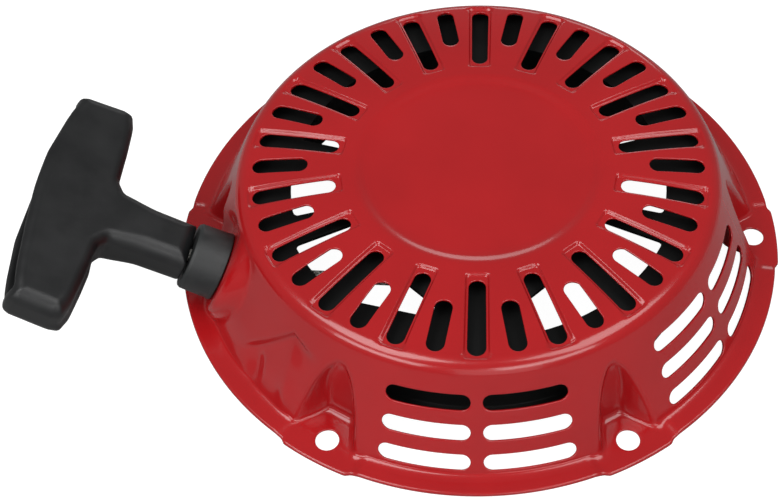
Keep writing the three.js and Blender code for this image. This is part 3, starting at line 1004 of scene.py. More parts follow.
def build_cover():
    soup = Soup()
    for i in range(36):
        top_cell(soup, i * 10.0, i % 2 == 1)
    # disc and its pressed step
    az = inner_ring_az()
    radii = [RI, 49.2, 48.4, 47.6, 46.9, 46.2, 45.5, 44.8, 44.1, 43.4, 42.6, 40, 34, 26, 18, 10, 4]
    rows = []
    for r in radii:
        a = np.radians(az)
        rows.append(top_point(r * np.cos(a), r * np.sin(a)))
    pts = np.array(rows)
    soup.block(pts[::-1], closed=True)
    n0 = soup.n
    ring = pts[-1]
    soup.v.append(np.vstack([ring, [[0, 0, float(plate_z(0.0))]]]))
    soup.n += len(ring) + 1
    soup.f.append(
        np.array([(n0 + k, n0 + (k + 1) % len(ring), n0 + len(ring), -1) for k in range(len(ring))])
    )
    # shoulder: a fillet from the plate to the wall
    raz = ring_az()
    z0 = float(plate_z(RO))
    k0 = -(float(plate_z(RO + 0.01)) - z0) / 0.01
    n0 = np.array([k0, 1.0]) / math.hypot(k0, 1.0)
    q = math.hypot(1, SLOPE)
    arc_r = ((110.8 - RO - SLOPE * z0) / q) / (1 - (n0[0] + SLOPE * n0[1]) / q)
    arc_c = (RO - arc_r * n0[0], z0 - arc_r * n0[1])
    t0, t1 = math.atan2(n0[1], n0[0]), math.atan2(SLOPE, 1.0)
    rows = []
    a = np.radians(raz)
    rows.append(top_point(RO * np.cos(a), RO * np.sin(a)))
    for k in range(1, 13):
        t = t0 + (t1 - t0) * k / 12
        r, z = arc_c[0] + arc_r * math.cos(t), arc_c[1] + arc_r * math.sin(t)
        x, y = r * np.cos(a), r * np.sin(a)
        p = np.stack([x, y, np.full_like(x, z)], -1)
        p[:, 2] -= dish(x, y)
        rows.append(p)
    # blend the shoulder into the wall's own shape where the outlet seat reaches it
    for z in (38.2, 37.7):
        rows.append(wall_point(raz, np.full_like(raz, z)))
    pts = np.array(rows)
    soup.block(pts, closed=True)
    waz, marks = wall_azimuths()
    top_wall = wall_point(waz, np.full_like(waz, ROW_EDGES[0]))
    # zip the two rings
    start = waz[0]
    shift = int(np.argmax(raz >= start))
    raz2 = np.concatenate([raz[shift:], raz[:shift] + 360])
    ring_a = np.concatenate([pts[-1][shift:], pts[-1][:shift]])
    lo, la = ring_a, raz2
    soup.zipper(top_wall, waz, lo, la)
    # wall: slotted cells and plain panels
    zs = wall_rows()
    for a0, a1, n in marks:
        mid = (a0 + a1) / 2
        slotted = n == K2
        if slotted:
            sec = min(SECTORS, key=lambda s: abs(s - mid))
            ac = sec + (10.25 if mid > sec else -10.25)
            for i in range(3):
                slot_cell(soup, a0, a1, ROW_EDGES[i], ROW_EDGES[i + 1], ac, ROWS_Z[i])
        else:
            azs = np.linspace(a0, a1, n + 1)
            A, Z = np.meshgrid(azs, zs)
            soup.block(wall_point(A, Z)[::-1])
    # foot fillet and flange, with a hole in each ear
    r34 = wall_radius(waz, np.full_like(waz, 3.2))
    ft = flange_top(waz)
    er = edge_radius(waz)
    rows = [cyl(waz, r34, np.full_like(waz, 3.2))]
    run = np.minimum(3.6, (er - r34) * 0.42)
    for t in (0.25, 0.5, 0.75, 1.0):
        r = (1 - t) ** 2 * r34 + 2 * t * (1 - t) * (r34 + 0.5) + t * t * (r34 + run)
        z = (1 - t) ** 2 * 3.2 + 2 * t * (1 - t) * (ft + 0.05) + t * t * ft
        rows.append(cyl(waz, r, z))
    soup.block(np.array(rows)[::-1], closed=True)
    fr = r34 + run
    lip = er - 1.2
    va, vb = 0.10, 0.93
    ra, rb = fr + (lip - fr) * va, fr + (lip - fr) * vb

    def band(r0, r1, n, sel=None):
        rows = []
        for k in range(n + 1):
            r = r0 + (r1 - r0) * k / n
            rows.append(cyl(waz, r, ft))
        return np.array(rows)

    soup.block(band(fr, ra, 2)[::-1], closed=True)
    soup.block(band(rb, lip, 2)[::-1], closed=True)
    body = band(ra, rb, 8)
    # columns that lie within 5 degrees of an ear are left for the hole cells
    ear = np.round(waz / 60) * 60
    near = np.abs(waz - ear) < 4.9
    n = len(waz)
    start = 0
    # split in runs of columns
    idx = np.arange(n + 1) % n
    runs, cur = [], [0]
    for i in range(1, n + 1):
        cur.append(i)
        if i == n or near[idx[i]] != near[idx[i - 1]]:
            runs.append((cur[0], cur[-1]))
            cur = [i]
    for s0, s1 in [(i, i + 1) for i in range(n)]:
        a_, b_ = idx[s0], idx[s1]
        if not (near[a_] and near[b_]):
            soup.block(body[:, [a_, b_]][::-1])
    for k in range(6):
        e = 60 * k + 0.0
        cols = np.flatnonzero(np.abs(((waz - e + 180) % 360) - 180) < 4.9)
        rel = ((waz[cols] - e + 180) % 360) - 180
        cols = cols[np.argsort(rel)]
        top = body[:, cols]  # rows x cols
        loop = list(top[0, :-1]) + list(top[:-1, -1]) + list(top[-1, :0:-1]) + list(top[:0:-1, 0])
        loop = np.array(loop)
        c = np.array([BOLT_R * math.cos(rad(e)), BOLT_R * math.sin(rad(e)), float(np.mean(loop[:, 2]))])
        d = loop - c
        ang = np.arctan2(d[:, 1], d[:, 0])
        circ = np.stack([np.cos(ang), np.sin(ang), 0 * ang], -1)
        rows = []
        for off, drop in [(0.0, 0.4), (0.03, 0.18), (0.12, 0.05), (0.3, 0)]:
            q = c + circ * (HOLE_R + off)
            q[:, 2] = loop[:, 2] - drop
            rows.append(q)
        q0 = rows[-1]
        for j in range(1, 6):
            t = j / 5
            rows.append(q0 * (1 - t) + loop * t)
        blk = np.array(rows)
        soup.block(blk, closed=True)
    # rolled outer edge
    rows = [cyl(waz, lip, ft)]
    for fr_, dz in ((0.45, 0.03), (0.75, 0.16), (0.93, 0.42), (1.0, 0.8)):
        rows.append(cyl(waz, lip + 1.2 * fr_, np.maximum(ft - dz, 0.35)))
    low = np.where(ft > 1.6, 1.1, 0.6)
    rows.append(cyl(waz, er, np.maximum(ft - 1.3, 0.3) + 0 * low))
    soup.block(np.array(rows)[::-1], closed=True)
    v, f = soup.welded(0.004)
    v, f = merge_close(v, f, 0.006)
    return v, f


def punch_outlet(v, f):
    """Opens the round hole of the rope outlet by dropping the faces inside it and pulling its rim to a circle."""
    p = v - OUTLET
    x, y, z = p @ H, p @ OV, p @ D
    rho = np.hypot(x, y)
    near = (rho < 14) & (np.abs(z) < 3)
    inside = near & (rho < 8.3)
    keep = [q for q in f if not all(inside[i] for i in q)]
    rim = set()
    for q in f:
        flags = [inside[i] for i in q]
        if any(flags) and not all(flags):
            rim.update(i for i in q if inside[i])
    for i in rim:
        s = 8.3 / max(rho[i], 1e-6)
        v[i] = OUTLET + x[i] * s * H + y[i] * s * OV + z[i] * D
    return v, keep


v, f = build_cover()
v, f = punch_outlet(v, f)
v, f = face_out(v, f)
used = np.unique(np.concatenate([np.array(q) for q in f]))
new = -np.ones(len(v), int)
new[used] = np.arange(len(used))
v = v[used]
f = [[int(new[i]) for i in q] for q in f]
cv, cf, rim_count = thicken(v, f, SHEET)
cv[:, 2] = np.maximum(cv[:, 2], 0.0)
cover = make("cover", cv, cf, RED, "case", ["case_cover"], angle=50)
cover.data.materials.append(CUT_EDGE)
if len(cover.data.polygons) == len(cf):
    for poly_ in list(cover.data.polygons)[-rim_count:]:
        poly_.material_index = 1

# ------------------------------------------------------------------ cutting and rounding of solid pieces
def raw(name, v, f):
    me = bpy.data.meshes.new(name)
    me.from_pydata([tuple(p) for p in np.asarray(v, float) * MM], [], [tuple(int(i) for i in q) for q in f])
    me.validate()
    ob = bpy.data.objects.new(name, me)
    SCENE.collection.objects.link(ob)
    return ob


def combine(ob, cutters, op="DIFFERENCE"):
    for v, f in cutters:
        c = raw("cutter", v, f)
        m = ob.modifiers.new("b", "BOOLEAN")
        m.operation = op
        m.solver = "EXACT"
        m.object = c
        apply_mods(ob)
        cm = c.data
        bpy.data.objects.remove(c)
        bpy.data.meshes.remove(cm)
    return ob


def bevel(ob, width, segments=2, angle=32):
    m = ob.modifiers.new("bevel", "BEVEL")
    m.width = width * MM
    m.segments = segments
    m.limit_method = "ANGLE"
    m.angle_limit = rad(angle)
    m.use_clamp_overlap = True
    apply_mods(ob)
    return ob


def dressed(ob, name, material, body, nodes, angle=40):
    ob.name = name
    ob.data.name = name
    ob.data.materials.clear()
    ob.data.materials.append(material)
    shade(ob, angle)
    settle(ob, body, nodes)
    return ob


def prism(points, z0, z1):
    """Closed prism over an anticlockwise outline."""
    p = np.array([q[:2] for q in points], float)
    k = len(p)
    if np.sum(p[:, 0] * np.roll(p[:, 1], -1) - np.roll(p[:, 0], -1) * p[:, 1]) < 0:
        p = p[::-1]
    v = np.vstack([np.c_[p, np.full(k, z0)], np.c_[p, np.full(k, z1)]])
    f = [list(range(k))[::-1], list(range(k, 2 * k))]
    f += [[i, (i + 1) % k, k + (i + 1) % k, k + i] for i in range(k)]
    return v, f


def disc(r, z0, z1, x=0, y=0, segs=64):
    a = np.linspace(0, 2 * np.pi, segs, endpoint=False)
    return prism(np.c_[x + r * np.cos(a), y + r * np.sin(a)], z0, z1)


def band(r0, r1, a0, a1, corner=0.0):
    n = max(6, int(abs(a1 - a0) / 2))
    if corner <= 0:
        a = np.radians(np.linspace(a0, a1, n + 1))
        return np.vstack([np.c_[r1 * np.cos(a), r1 * np.sin(a)], np.c_[r0 * np.cos(a[::-1]), r0 * np.sin(a[::-1])]])
    # corners rounded in the unrolled plane
    rm = (r0 + r1) / 2
    w = rad(a1 - a0) * rm
    box = rounded([(0, 0), (w, 0), (w, r1 - r0), (0, r1 - r0)], corner, 6)
    dense = []
    for i in range(len(box)):
        p, q = np.array(box[i]), np.array(box[(i + 1) % len(box)])
        m = max(1, int(np.linalg.norm(q - p) / 2.0))
        for k in range(m):
            dense.append(p + (q - p) * k / m)
    dense = np.array(dense)
    ang = rad(a0) + dense[:, 0] / rm
    rr = r0 + dense[:, 1]
    # the straight edge of the outline keeps its own angle at every radius
    return np.c_[rr * np.cos(ang), rr * np.sin(ang)]


def keep_side(poly, azimuth, distance, side):
    """The part of an outline on one side of a straight line."""
    nx, ny = math.cos(rad(azimuth)), math.sin(rad(azimuth))
    out = []
    for i in range(len(poly)):
        a, b = poly[i], poly[(i + 1) % len(poly)]
        p = side * (nx * a[0] + ny * a[1] - distance)
        q = side * (nx * b[0] + ny * b[1] - distance)
        if p >= 0:
            out.append([a[0], a[1]])
        if (p > 0) != (q > 0):
            t = p / (p - q)
            if 1e-4 < t < 1 - 1e-4:
                out.append([a[0] + (b[0] - a[0]) * t, a[1] + (b[1] - a[1]) * t])
    return np.array(out)


def sweep(points, radius, sides=14, cap=True, flat=None):
    """Round tube along points, carried with a frame that doesn't twist. Ends are domed."""
    p = np.array(points, float)
    t = np.gradient(p, axis=0)
    t /= np.linalg.norm(t, axis=1, keepdims=True)
    ref = np.array([0, 0, 1.0]) if abs(t[0][2]) < 0.9 else np.array([1.0, 0, 0])
    n = np.cross(t[0], ref)
    n /= np.linalg.norm(n)
    rings = []
    rr = np.full(len(p), float(radius)) if np.isscalar(radius) else np.asarray(radius, float)
    a = np.linspace(0, 2 * np.pi, sides, endpoint=False)
    for i in range(len(p)):
        n = n - t[i] * (n @ t[i])
        n /= np.linalg.norm(n)
        b = np.cross(t[i], n)
        rings.append(p[i] + rr[i] * (np.cos(a)[:, None] * n + np.sin(a)[:, None] * b))
    rings = np.array(rings)
    k = len(rings)
    v = rings.reshape(-1, 3)
    idx = np.arange(k * sides).reshape(k, sides)
    nx = np.roll(idx, -1, axis=1)
    f = np.stack([idx[:-1], nx[:-1], nx[1:], idx[1:]], -1).reshape(-1, 4).tolist()
    v = np.vstack([v, p[0] - t[0] * rr[0] * 0.35, p[-1] + t[-1] * rr[-1] * 0.35])
    a0, a1 = k * sides, k * sides + 1
    for j in range(sides):
        f.append([int(nx[0, j]), int(idx[0, j]), a0])
        f.append([int(idx[-1, j]), int(nx[-1, j]), a1])
    return v, f


def curve(points, n):
    """Catmull-Rom through points, n samples in all."""
    p = np.array(points, float)
    p = np.vstack([2 * p[0] - p[1], p, 2 * p[-1] - p[-2]])
    out = []
    segs = len(p) - 3
    for s_ in np.linspace(0, segs - 1e-9, n):
        i = int(s_)
        t = s_ - i
        a, b, c, d = p[i : i + 4]
        out.append(
            0.5 * (2 * b + (c - a) * t + (2 * a - 5 * b + 4 * c - d) * t * t + (3 * b - a - 3 * c + d) * t**3)
        )
    return np.array(out)


def outward(v, f):
    return (v, f) if signed_volume(np.asarray(v), f) > 0 else (v, [q[::-1] for q in f])


def wire(name, points, radius, material, body, nodes, sides=14, place=None):
    v, f = outward(*sweep(points, radius, sides))
    if place is not None:
        v = place(v)
    return make(name, v, f, material, body, nodes, 60)


# ------------------------------------------------------------------ inner shroud
ARMS = [(270, 14), (227, 4.5), (313, 4.5), (200.8, 5.2), (340.4, 5.1), (172.2, 7.7), (8.8, 8.7), (90, 14)]
SH_TOP, SH_T = 37.6, 1.5
shroud_profile = rounded(
    [
        (10.6, SH_TOP, 0.3),
        (90.4, SH_TOP, 0.5),
        (90.4, SH_TOP - SH_T, 0.5),
        (77.4, SH_TOP - SH_T, 1.6),
        (82.4, 4.9, 0.9),
        (84.6, 4.2, 0.3),
        (84.6, 3.1, 0.3),
        (81.1, 3.6, 1.8),
        (75.4, SH_TOP - SH_T - 0.4, 0.6),
        (75.4, SH_TOP - SH_T, 0.0),
        (10.6, SH_TOP - SH_T, 0.3),
    ],
    0.3,
    4,
)
sv, sf = lathe(shroud_profile, 192)
sv, sf = outward(sv, sf)
shroud = raw("shroud", sv, sf)
arms = sorted(ARMS)
cutters = []
for i, (a, wa) in enumerate(arms):
    nb, nw = arms[(i + 1) % len(arms)]
    nb = nb + (360 if i + 1 == len(arms) else 0)
    lo, hi = a + wa, nb - nw
    if hi - lo > 4:
        mid = (lo + hi) / 2
        gap = band(27.0, 75.1 if 284 < mid < 335 or 206 < mid < 222 else 72.6 if 230 < mid < 260 else 71.5, lo, hi, 1.8)
        if 230 < mid < 260:
            gap = keep_side(keep_side(gap, 226.2, 54.1, 1), 255.8, 67.7, -1)
        if 280 < mid < 310:
            gap = keep_side(gap, 313.8, 54.1, 1)
        cutters.append(prism(gap, SH_TOP - 6, SH_TOP + 4))
GB = OUTLET - 6.2 * D
reach = math.hypot(GB[0], GB[1])
run_az = math.atan2(GB[1], GB[0]) + math.acos(43.6 / reach)
LEAVE = np.array([43.6 * math.cos(run_az), 43.6 * math.sin(run_az), 28.0])
line = GB - LEAVE
line2 = np.array([line[0], line[1], 0.0])
line2 /= np.linalg.norm(line2)
cross2 = np.array([-line2[1], line2[0], 0.0])
w = rounded([(35, -9), (95, -9), (95, 9), (35, 9)], 3, 4)
wv, wf = prism(w, -20, 7)
wv = np.array([LEAVE[0], LEAVE[1], 28.0]) + wv[:, :1] * line2 + wv[:, 1:2] * cross2 + wv[:, 2:3] * np.array([0, 0, 1.0])
cutters.append((wv, wf))
combine(shroud, cutters)
bevel(shroud, 0.3, 2, 40)
dressed(shroud, "shroud_pressing", BLACK_ENAMEL, "case", ["inner_shroud"], 35)

# ------------------------------------------------------------------ centre post, screw, washers
turned_piece(
    "post",
    [(0, 42.4), (17, 42.4, 0.5), (17, 40.9, 0.4), (9.5, 39.6, 1.2), (9.5, 26.3, 0.4), (6.8, 26.3, 0.2), (6.8, 7.5, 0.4), (3.3, 7.5, 0.2), (3.3, 29, 0.1), (0, 29)],
    0,
    STEEL,
    "case",
    ["centre_post"],
    segs=128,
)
hexa = [(5.77 * math.cos(math.pi * i / 3), 5.77 * math.sin(math.pi * i / 3)) for i in range(6)]
hv, hf = prism(hexa, 0.02, 4.6)
screw = raw("screw", hv, hf)
cone, conef = lathe(rounded([(0, -1), (4.75, -1), (4.75, 0.0), (6.6, 1.15), (6.6, 5), (0, 5)], 0, 1), 96)
combine(screw, [outward(cone, conef)], "INTERSECT")
fl, flf = lathe(rounded([(0, 4.3), (7.2, 4.3, 0.35), (7.2, 5.4, 0.35), (3.0, 5.4), (3.0, 27.6, 0.6), (2.4, 28.5), (0, 28.5)], 0.0, 3), 96)
combine(screw, [outward(fl, flf)], "UNION")
bevel(screw, 0.18, 2, 30)
dressed(screw, "hex_flange_screw", ZINC, "case", ["centre_screw"], 35)
turned_piece("washer", [(3.3, 5.72), (10.5, 5.72), (10.5, 7.18), (3.3, 7.18)], 0.25, ZINC, "case", ["guide_washer"], 96)

# ------------------------------------------------------------------ recoil spring
turns, r0s, r1s, th = 4.5, 12.8, 29.2, 0.62
n_s = 360
ang = np.linspace(0, 2 * np.pi * turns, n_s)
rs = r0s + (r1s - r0s) * np.linspace(0, 1, n_s)
path = np.c_[rs * np.cos(ang), rs * np.sin(ang)]
hook = np.array([[10.25, -1.0], [10.9, -0.7], [11.6, -0.45], [12.3, -0.22]])
path = np.vstack([hook, path])
tg = np.gradient(path, axis=0)
tg /= np.linalg.norm(tg, axis=1, keepdims=True)
nm = np.c_[tg[:, 1], -tg[:, 0]]
sec = rounded([(-th / 2, 24.95), (th / 2, 24.95), (th / 2, 33.95), (-th / 2, 33.95)], 0.18, 2)
rings = np.array([[[p[0] + q[0] * m[0], p[1] + q[0] * m[1], q[1]] for q in sec] for p, m in zip(path, nm)])
k, c = rings.shape[:2]
idx = np.arange(k * c).reshape(k, c)
nx = np.roll(idx, -1, axis=1)
ff = np.stack([idx[:-1], nx[:-1], nx[1:], idx[1:]], -1).reshape(-1, 4).tolist()
ff += [idx[0].tolist(), idx[-1][::-1].tolist()]
vv, ff = outward(rings.reshape(-1, 3), ff)
make("recoil_spring", vv, ff, SPRING_STRIP, "reel", ["main_spring"], 40)

# ------------------------------------------------------------------ reel, bush, rope
reel_profile = rounded(
    [
        (9.0, 12.2, 0.4),
        (12.2, 12.2, 0.5),
        (12.2, 21.2, 1.0),
        (47.5, 21.2, 0.5),
        (47.5, 22.9, 0.6),
        (33.5, 22.9, 0.6),
        (33.5, 32.9, 0.6),
        (50.0, 32.9, 0.6),
        (50.0, 34.6, 0.6),
        (30.8, 34.6, 0.5),
        (30.8, 24.0, 0.8),
        (9.0, 24.0, 0.4),
    ],
    0.4,
    4,
)
rv, rf = outward(*lathe(reel_profile, 144))
reel = raw("reel", rv, rf)
knot_at = (41 * math.cos(rad(80)), 41 * math.sin(rad(80)))
cut = [disc(2.7, 18, 24.5, *knot_at, 32)]
for a in (45, 135, 225, 315):
    cut.append(prism(band(16, 25, a - 16, a + 16, 2.2), 18, 25.5))
combine(reel, cut)
# ribs on the underside, from the hub to the rim
ribs = []
for a in range(20, 360, 40):
    ca, sa = math.cos(rad(a)), math.sin(rad(a))
    if min(abs(((a - q + 180) % 360) - 180) for q in (0, 180, 80)) < 14:
        continue
    v_, f_ = prism([(27.5, -0.8), (46.4, -0.8), (46.4, 0.8), (27.5, 0.8)], 20.2, 21.9)
    v_ = np.c_[v_[:, 0] * ca - v_[:, 1] * sa, v_[:, 0] * sa + v_[:, 1] * ca, v_[:, 2]]
    ribs.append((v_, f_))
combine(reel, ribs, "UNION")
bevel(reel, 0.25, 2, 40)
dressed(reel, "rope_reel", REEL_PLASTIC, "reel", ["reel"], 35)
turned_piece("bush", [(7.1, 12.2), (8.7, 12.2), (8.7, 25.9), (7.1, 25.9)], 0.3, BRONZE, "reel", ["reel_bush"], 96)

# the wound rope: two full layers of two turns, then one turn in the groove, down to where it leaves
LEAVE_DEG = math.degrees(run_az)
pts = []
layers = [(36.0, 25.55, 30.25), (39.9, 30.25, 25.55)]
total = []
a_now = LEAVE_DEG + 360 * 5 + 0.0
seq = []
for r_, za, zb in layers:
    seq.append((r_, za))
    seq.append((r_, zb))
seq.append((43.6, 28.0))
for k_, (r_, z_) in enumerate(seq):
    for j in range(72):
        t = j / 72
        if k_ > 0:
            e = float(smooth(0, 0.07, t))
            rr_ = seq[k_ - 1][0] + (r_ - seq[k_ - 1][0]) * e
            zz_ = seq[k_ - 1][1] + (z_ - seq[k_ - 1][1]) * e
        else:
            rr_, zz_ = r_, z_
        a_ = rad(a_now - 360 * t)
        pts.append((rr_ * math.cos(a_), rr_ * math.sin(a_), zz_))
    a_now -= 360
pts.append((43.6 * math.cos(rad(a_now)), 43.6 * math.sin(rad(a_now)), 28.0))
wire("wound_rope", pts, 2.15, ROPE, "reel", ["rope_coil"], 12)


def knot(size, r_, squash_=1.0):
    t = np.linspace(0, 2 * np.pi, 97)[:-1]
    x = np.sin(t) + 2 * np.sin(2 * t)
    y = np.cos(t) - 2 * np.cos(2 * t)
    z = -np.sin(3 * t)
    p = np.c_[x, y, z * squash_ * 1.3] * size
    a = np.linspace(0, 2 * np.pi, 12, endpoint=False)
    tt = np.roll(p, -1, 0) - np.roll(p, 1, 0)
    tt /= np.linalg.norm(tt, axis=1, keepdims=True)
    ref = np.array([0, 0, 1.0])
    rings = []
    for i in range(len(p)):
        n_ = np.cross(tt[i], ref)
        n_ /= np.linalg.norm(n_)
        b_ = np.cross(tt[i], n_)
        rings.append(p[i] + r_ * (np.cos(a)[:, None] * n_ + np.sin(a)[:, None] * b_))
    rings = np.array(rings)
    k = len(rings)
    idx = np.arange(k * 12).reshape(k, 12)
    nxt = np.roll(idx, -1, axis=1)
    dn = np.roll(idx, -1, axis=0)
    dnx = np.roll(nxt, -1, axis=0)
    f = np.stack([idx, nxt, dnx, dn], -1).reshape(-1, 4).tolist()
    return outward(rings.reshape(-1, 3), f)


kv, kf = knot(0.83, 1.25)
kv[:, 2] *= 0.9
make("reel_end_knot", kv + np.array([knot_at[0], knot_at[1], 17.9]), kf, ROPE, "reel", ["reel_knot"], 60)

# ------------------------------------------------------------------ pawls, pins, springs
P_R = 31.0
arm_outline = [
    (P_R + 5.2, 1.0, 1.0),
    (P_R + 3.6, -6, 6),
    (P_R + 4.2, -14, 6),
    (P_R + 5.4, -20.5, 3),
    (P_R + 4.4, -24.0, 1.2),
    (P_R - 1.8, -24.6, 0.8),
    (P_R - 3.0, -19, 4),
    (P_R - 4.2, -11, 2.5),
    (P_R - 11.3, -7.4, 2.0),
    (P_R - 11.3, -2.6, 2.0),
    (P_R - 5.2, 0.6, 1.5),
]
for tag, turn in (("a", 0), ("b", 180)):
    ct, st_ = math.cos(rad(turn)), math.sin(rad(turn))

    def spin(v, ct=ct, st_=st_):
        v = np.asarray(v, float)
        return np.c_[v[:, 0] * ct - v[:, 1] * st_, v[:, 0] * st_ + v[:, 1] * ct, v[:, 2]]

    v_, f_ = prism(rounded(arm_outline, 1, 5), 13, 17.4)
    pawl = raw("pawl", spin(v_), f_)
    v_, f_ = disc(5.4, 13, 17.4, P_R, 0, 64)
    combine(pawl, [(spin(v_), f_)], "UNION")
    v_, f_ = disc(1.8, 7.7, 14.0, P_R - 9, -5, 32)
    combine(pawl, [(spin(v_), f_)], "UNION")
    v_, f_ = disc(2.8, 12, 19, P_R, 0, 48)
    combine(pawl, [(spin(v_), f_)])
    bevel(pawl, 0.35, 2, 35)
    dressed(pawl, "pawl_cast_" + tag, STEEL, "pawl_" + tag, ["pawl_" + tag], 35)
    pin_prof = [(0, 20.9), (2.5, 20.9), (2.5, 12.7), (4.1, 12.7), (4.1, 11.6), (0, 11.6)]
    pin_prof = [(0, 11.6), (4.1, 11.6, 0.4), (4.1, 12.7, 0.2), (2.5, 12.7, 0.1), (2.5, 20.9, 0.3), (0, 20.9)]
    turned_piece(
        "pin_" + tag,
        pin_prof,
        0,
        ZINC,
        "reel",
        ["pawl_pin_" + tag],
        48,
        place=lambda v, spin=spin: spin(v + np.array([P_R, 0, 0])),
    )
    coil = []
    for i in range(0, 27 * 4):
        a_ = 2 * math.pi * i / 48
        coil.append((P_R + 3.7 * math.cos(a_), 3.7 * math.sin(a_), 18.35 + i / 104 * 1.95))
    last = coil[-1]
    tail = curve([coil[-8], last, (P_R + 5.5, 7, 20.3), (P_R + 6.5, 10, 20.3)], 40)[14:]
    wire("torsion_spring_" + tag, spin(np.vstack([coil, tail])), 0.4, SPRING_WIRE, "reel", ["pawl_spring_" + tag], 10)

# ------------------------------------------------------------------ ratchet guide and friction spring
gv, gf = outward(
    *lathe(
        rounded(
            [(7.2, 7.5, 0.25), (30.4, 7.5, 1.2), (31.2, 8.6, 0.4), (31.2, 11, 0.4), (29.9, 11, 0.4), (29.9, 9.6, 0.9), (28.8, 9.1, 0.5), (7.2, 9.1, 0.25)],
            0.3,
            3,
        ),
        144,
    )
)
guide = raw("guide", gv, gf)
cut = []
for turn in (0, 180):
    path_ = []
    for k_ in range(13):
        f_ = k_ / 12
        a1_ = rad(30 * f_)
        x_ = P_R - 9 * math.cos(a1_) + 5 * math.sin(a1_)
        y_ = -9 * math.sin(a1_) - 5 * math.cos(a1_)
        a2_ = rad(turn - 30 * f_)
        path_.append((x_ * math.cos(a2_) - y_ * math.sin(a2_), x_ * math.sin(a2_) + y_ * math.cos(a2_)))
    path_ = np.array(path_)
    tg = np.gradient(path_, axis=0)
    tg /= np.linalg.norm(tg, axis=1, keepdims=True)
    nr = np.c_[tg[:, 1], -tg[:, 0]]
    out_ = list(path_ + nr * 2.7)
    a_end = math.atan2(nr[-1][1], nr[-1][0])
    out_ += [path_[-1] + 2.7 * np.array([math.cos(a_end + math.pi * j / 10), math.sin(a_end + math.pi * j / 10)]) for j in range(1, 10)]
    out_ += list((path_ - nr * 2.7)[::-1])
    a_st = math.atan2(-nr[0][1], -nr[0][0])
    out_ += [path_[0] + 2.7 * np.array([math.cos(a_st + math.pi * j / 10), math.sin(a_st + math.pi * j / 10)]) for j in range(1, 10)]
    cut.append(prism(out_, 5, 12))
for a in (75, 255):
    cut.append(prism(band(14, 24, a - 22, a + 22, 3.0), 5, 12))
combine(guide, cut)
bevel(guide, 0.25, 2, 40)
dressed(guide, "ratchet_plate", ZINC, "guide", ["ratchet_guide"], 35)
pf = []
for i in range(97):
    a_ = rad(20 + 320 * i / 96)
    pf.append((9.4 * math.cos(a_), 9.4 * math.sin(a_), 10.45))
tail = curve([pf[-6], pf[-1], (12.5, -2.2, 10.45), (17, -1.2, 10.45)], 36)[12:]
wire("friction_wire", np.vstack([pf, tail]), 0.8, SPRING_WIRE, "guide", ["friction_spring"], 12)

# ------------------------------------------------------------------ rope guide (ferrule)
turned_piece(
    "ferrule",
    [
        (3.6, 9.6, 1.2),
        (3.3, 2, 0.5),
        (3.5, -3, 1.0),
        (5.2, -5.6, 0.5),
        (10.2, -5.6, 0.5),
        (11.4, -4.6, 0.4),
        (11.4, -2.0, 0.3),
        (7.9, -2.0, 0.2),
        (7.9, 0.3, 0.2),
        (13.3, 0.3, 0.5),
        (13.0, 2.2, 0.8),
        (12.75, 12.1, 0.9),
        (12.1, 13.25, 0.5),
        (4.2, 13.15, 0.6),
    ],
    0.4,
    GUIDE_RUBBER,
    "case",
    ["rope_guide"],
    segs=144,
    place=on_pull,
    steps=5,
)

# ------------------------------------------------------------------ rope: run to the guide, and the length that is pulled
u_line = line / np.linalg.norm(line)
exit_in = OUTLET - 3.6 * D
mid_in = GB + u_line * -4.0
run_pts = curve([LEAVE - u_line * 0.0, LEAVE + u_line * 22, LEAVE + u_line * 52, mid_in, OUTLET - 2.4 * D, OUTLET + 4.0 * D], 90)
wire("rope_to_guide", run_pts, 2.3, ROPE, "case", ["rope_run"], 14)
dd = np.linspace(3.6, 61.5, 240)
rp = OUTLET + dd[:, None] * D
twist = 2.35 + 0.05 * np.sin(dd * 3.1)
v_, f_ = outward(*sweep(rp, twist, 16))
rope_out = make("starter_rope", v_, f_, ROPE, None, ["pull_rope"], 60)
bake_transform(rope_out)

# ------------------------------------------------------------------ grip: a rounded solid from a distance field
def polygon_distance(poly, X, Y):
    """Signed distance to a closed polygon, negative inside."""
    P = np.array(poly, float)
    Q = np.roll(P, -1, axis=0)
    best = np.full(X.shape, 1e9)
    inside = np.zeros(X.shape, bool)
    for (x0, y0), (x1, y1) in zip(P, Q):
        ex, ey = x1 - x0, y1 - y0
        t = np.clip(((X - x0) * ex + (Y - y0) * ey) / (ex * ex + ey * ey + 1e-12), 0, 1)
        best = np.minimum(best, (X - x0 - t * ex) ** 2 + (Y - y0 - t * ey) ** 2)
        c = (y0 > Y) != (y1 > Y)
        with np.errstate(divide="ignore", invalid="ignore"):
            c &= X < (x1 - x0) * (Y - y0) / (y1 - y0 + 1e-12) + x0
        inside ^= c
    return np.sqrt(best) * np.where(inside, -1, 1)


GR_CROWN, GR_BAR, GR_HALF, GR_T = 74.8, 46.0, 49.3, 9.0


def g_bar(h):
    return GR_CROWN - 0.0025 * h * h


def g_inner(h):
    return GR_BAR + 0.0011 * h * h


half = [
    (9.8, 13.5, 1.0),
    (10.1, 30.0, 20),
    (11.2, 43.2, 3.0),
    (15.2, g_inner(15.2), 4.0),
    (30, g_inner(30), 30),
    (43, g_inner(43), 8),
    (48.3, g_inner(46) + 1.2, 2.6),
    (49.3, g_inner(48) + 5.0, 4),
    (48.5, g_bar(48) - 2.0, 3),
    (47.3, g_bar(47.3) + 0.4, 2.2),
    (34, g_bar(34), 30),
    (17, g_bar(17), 30),
]
poly = rounded(half + [(-x, y, r) for x, y, r in reversed(half)], 3, 8)
H0, H1, D0, D1, CELL = -52.0, 52.0, 10.5, 78.0, 0.62
gh = np.arange(H0, H1, 0.31)
gd = np.arange(D0, D1, 0.31)
GX, GY = np.meshgrid(gh, gd, indexing="ij")
FIELD = polygon_distance(poly, GX, GY)


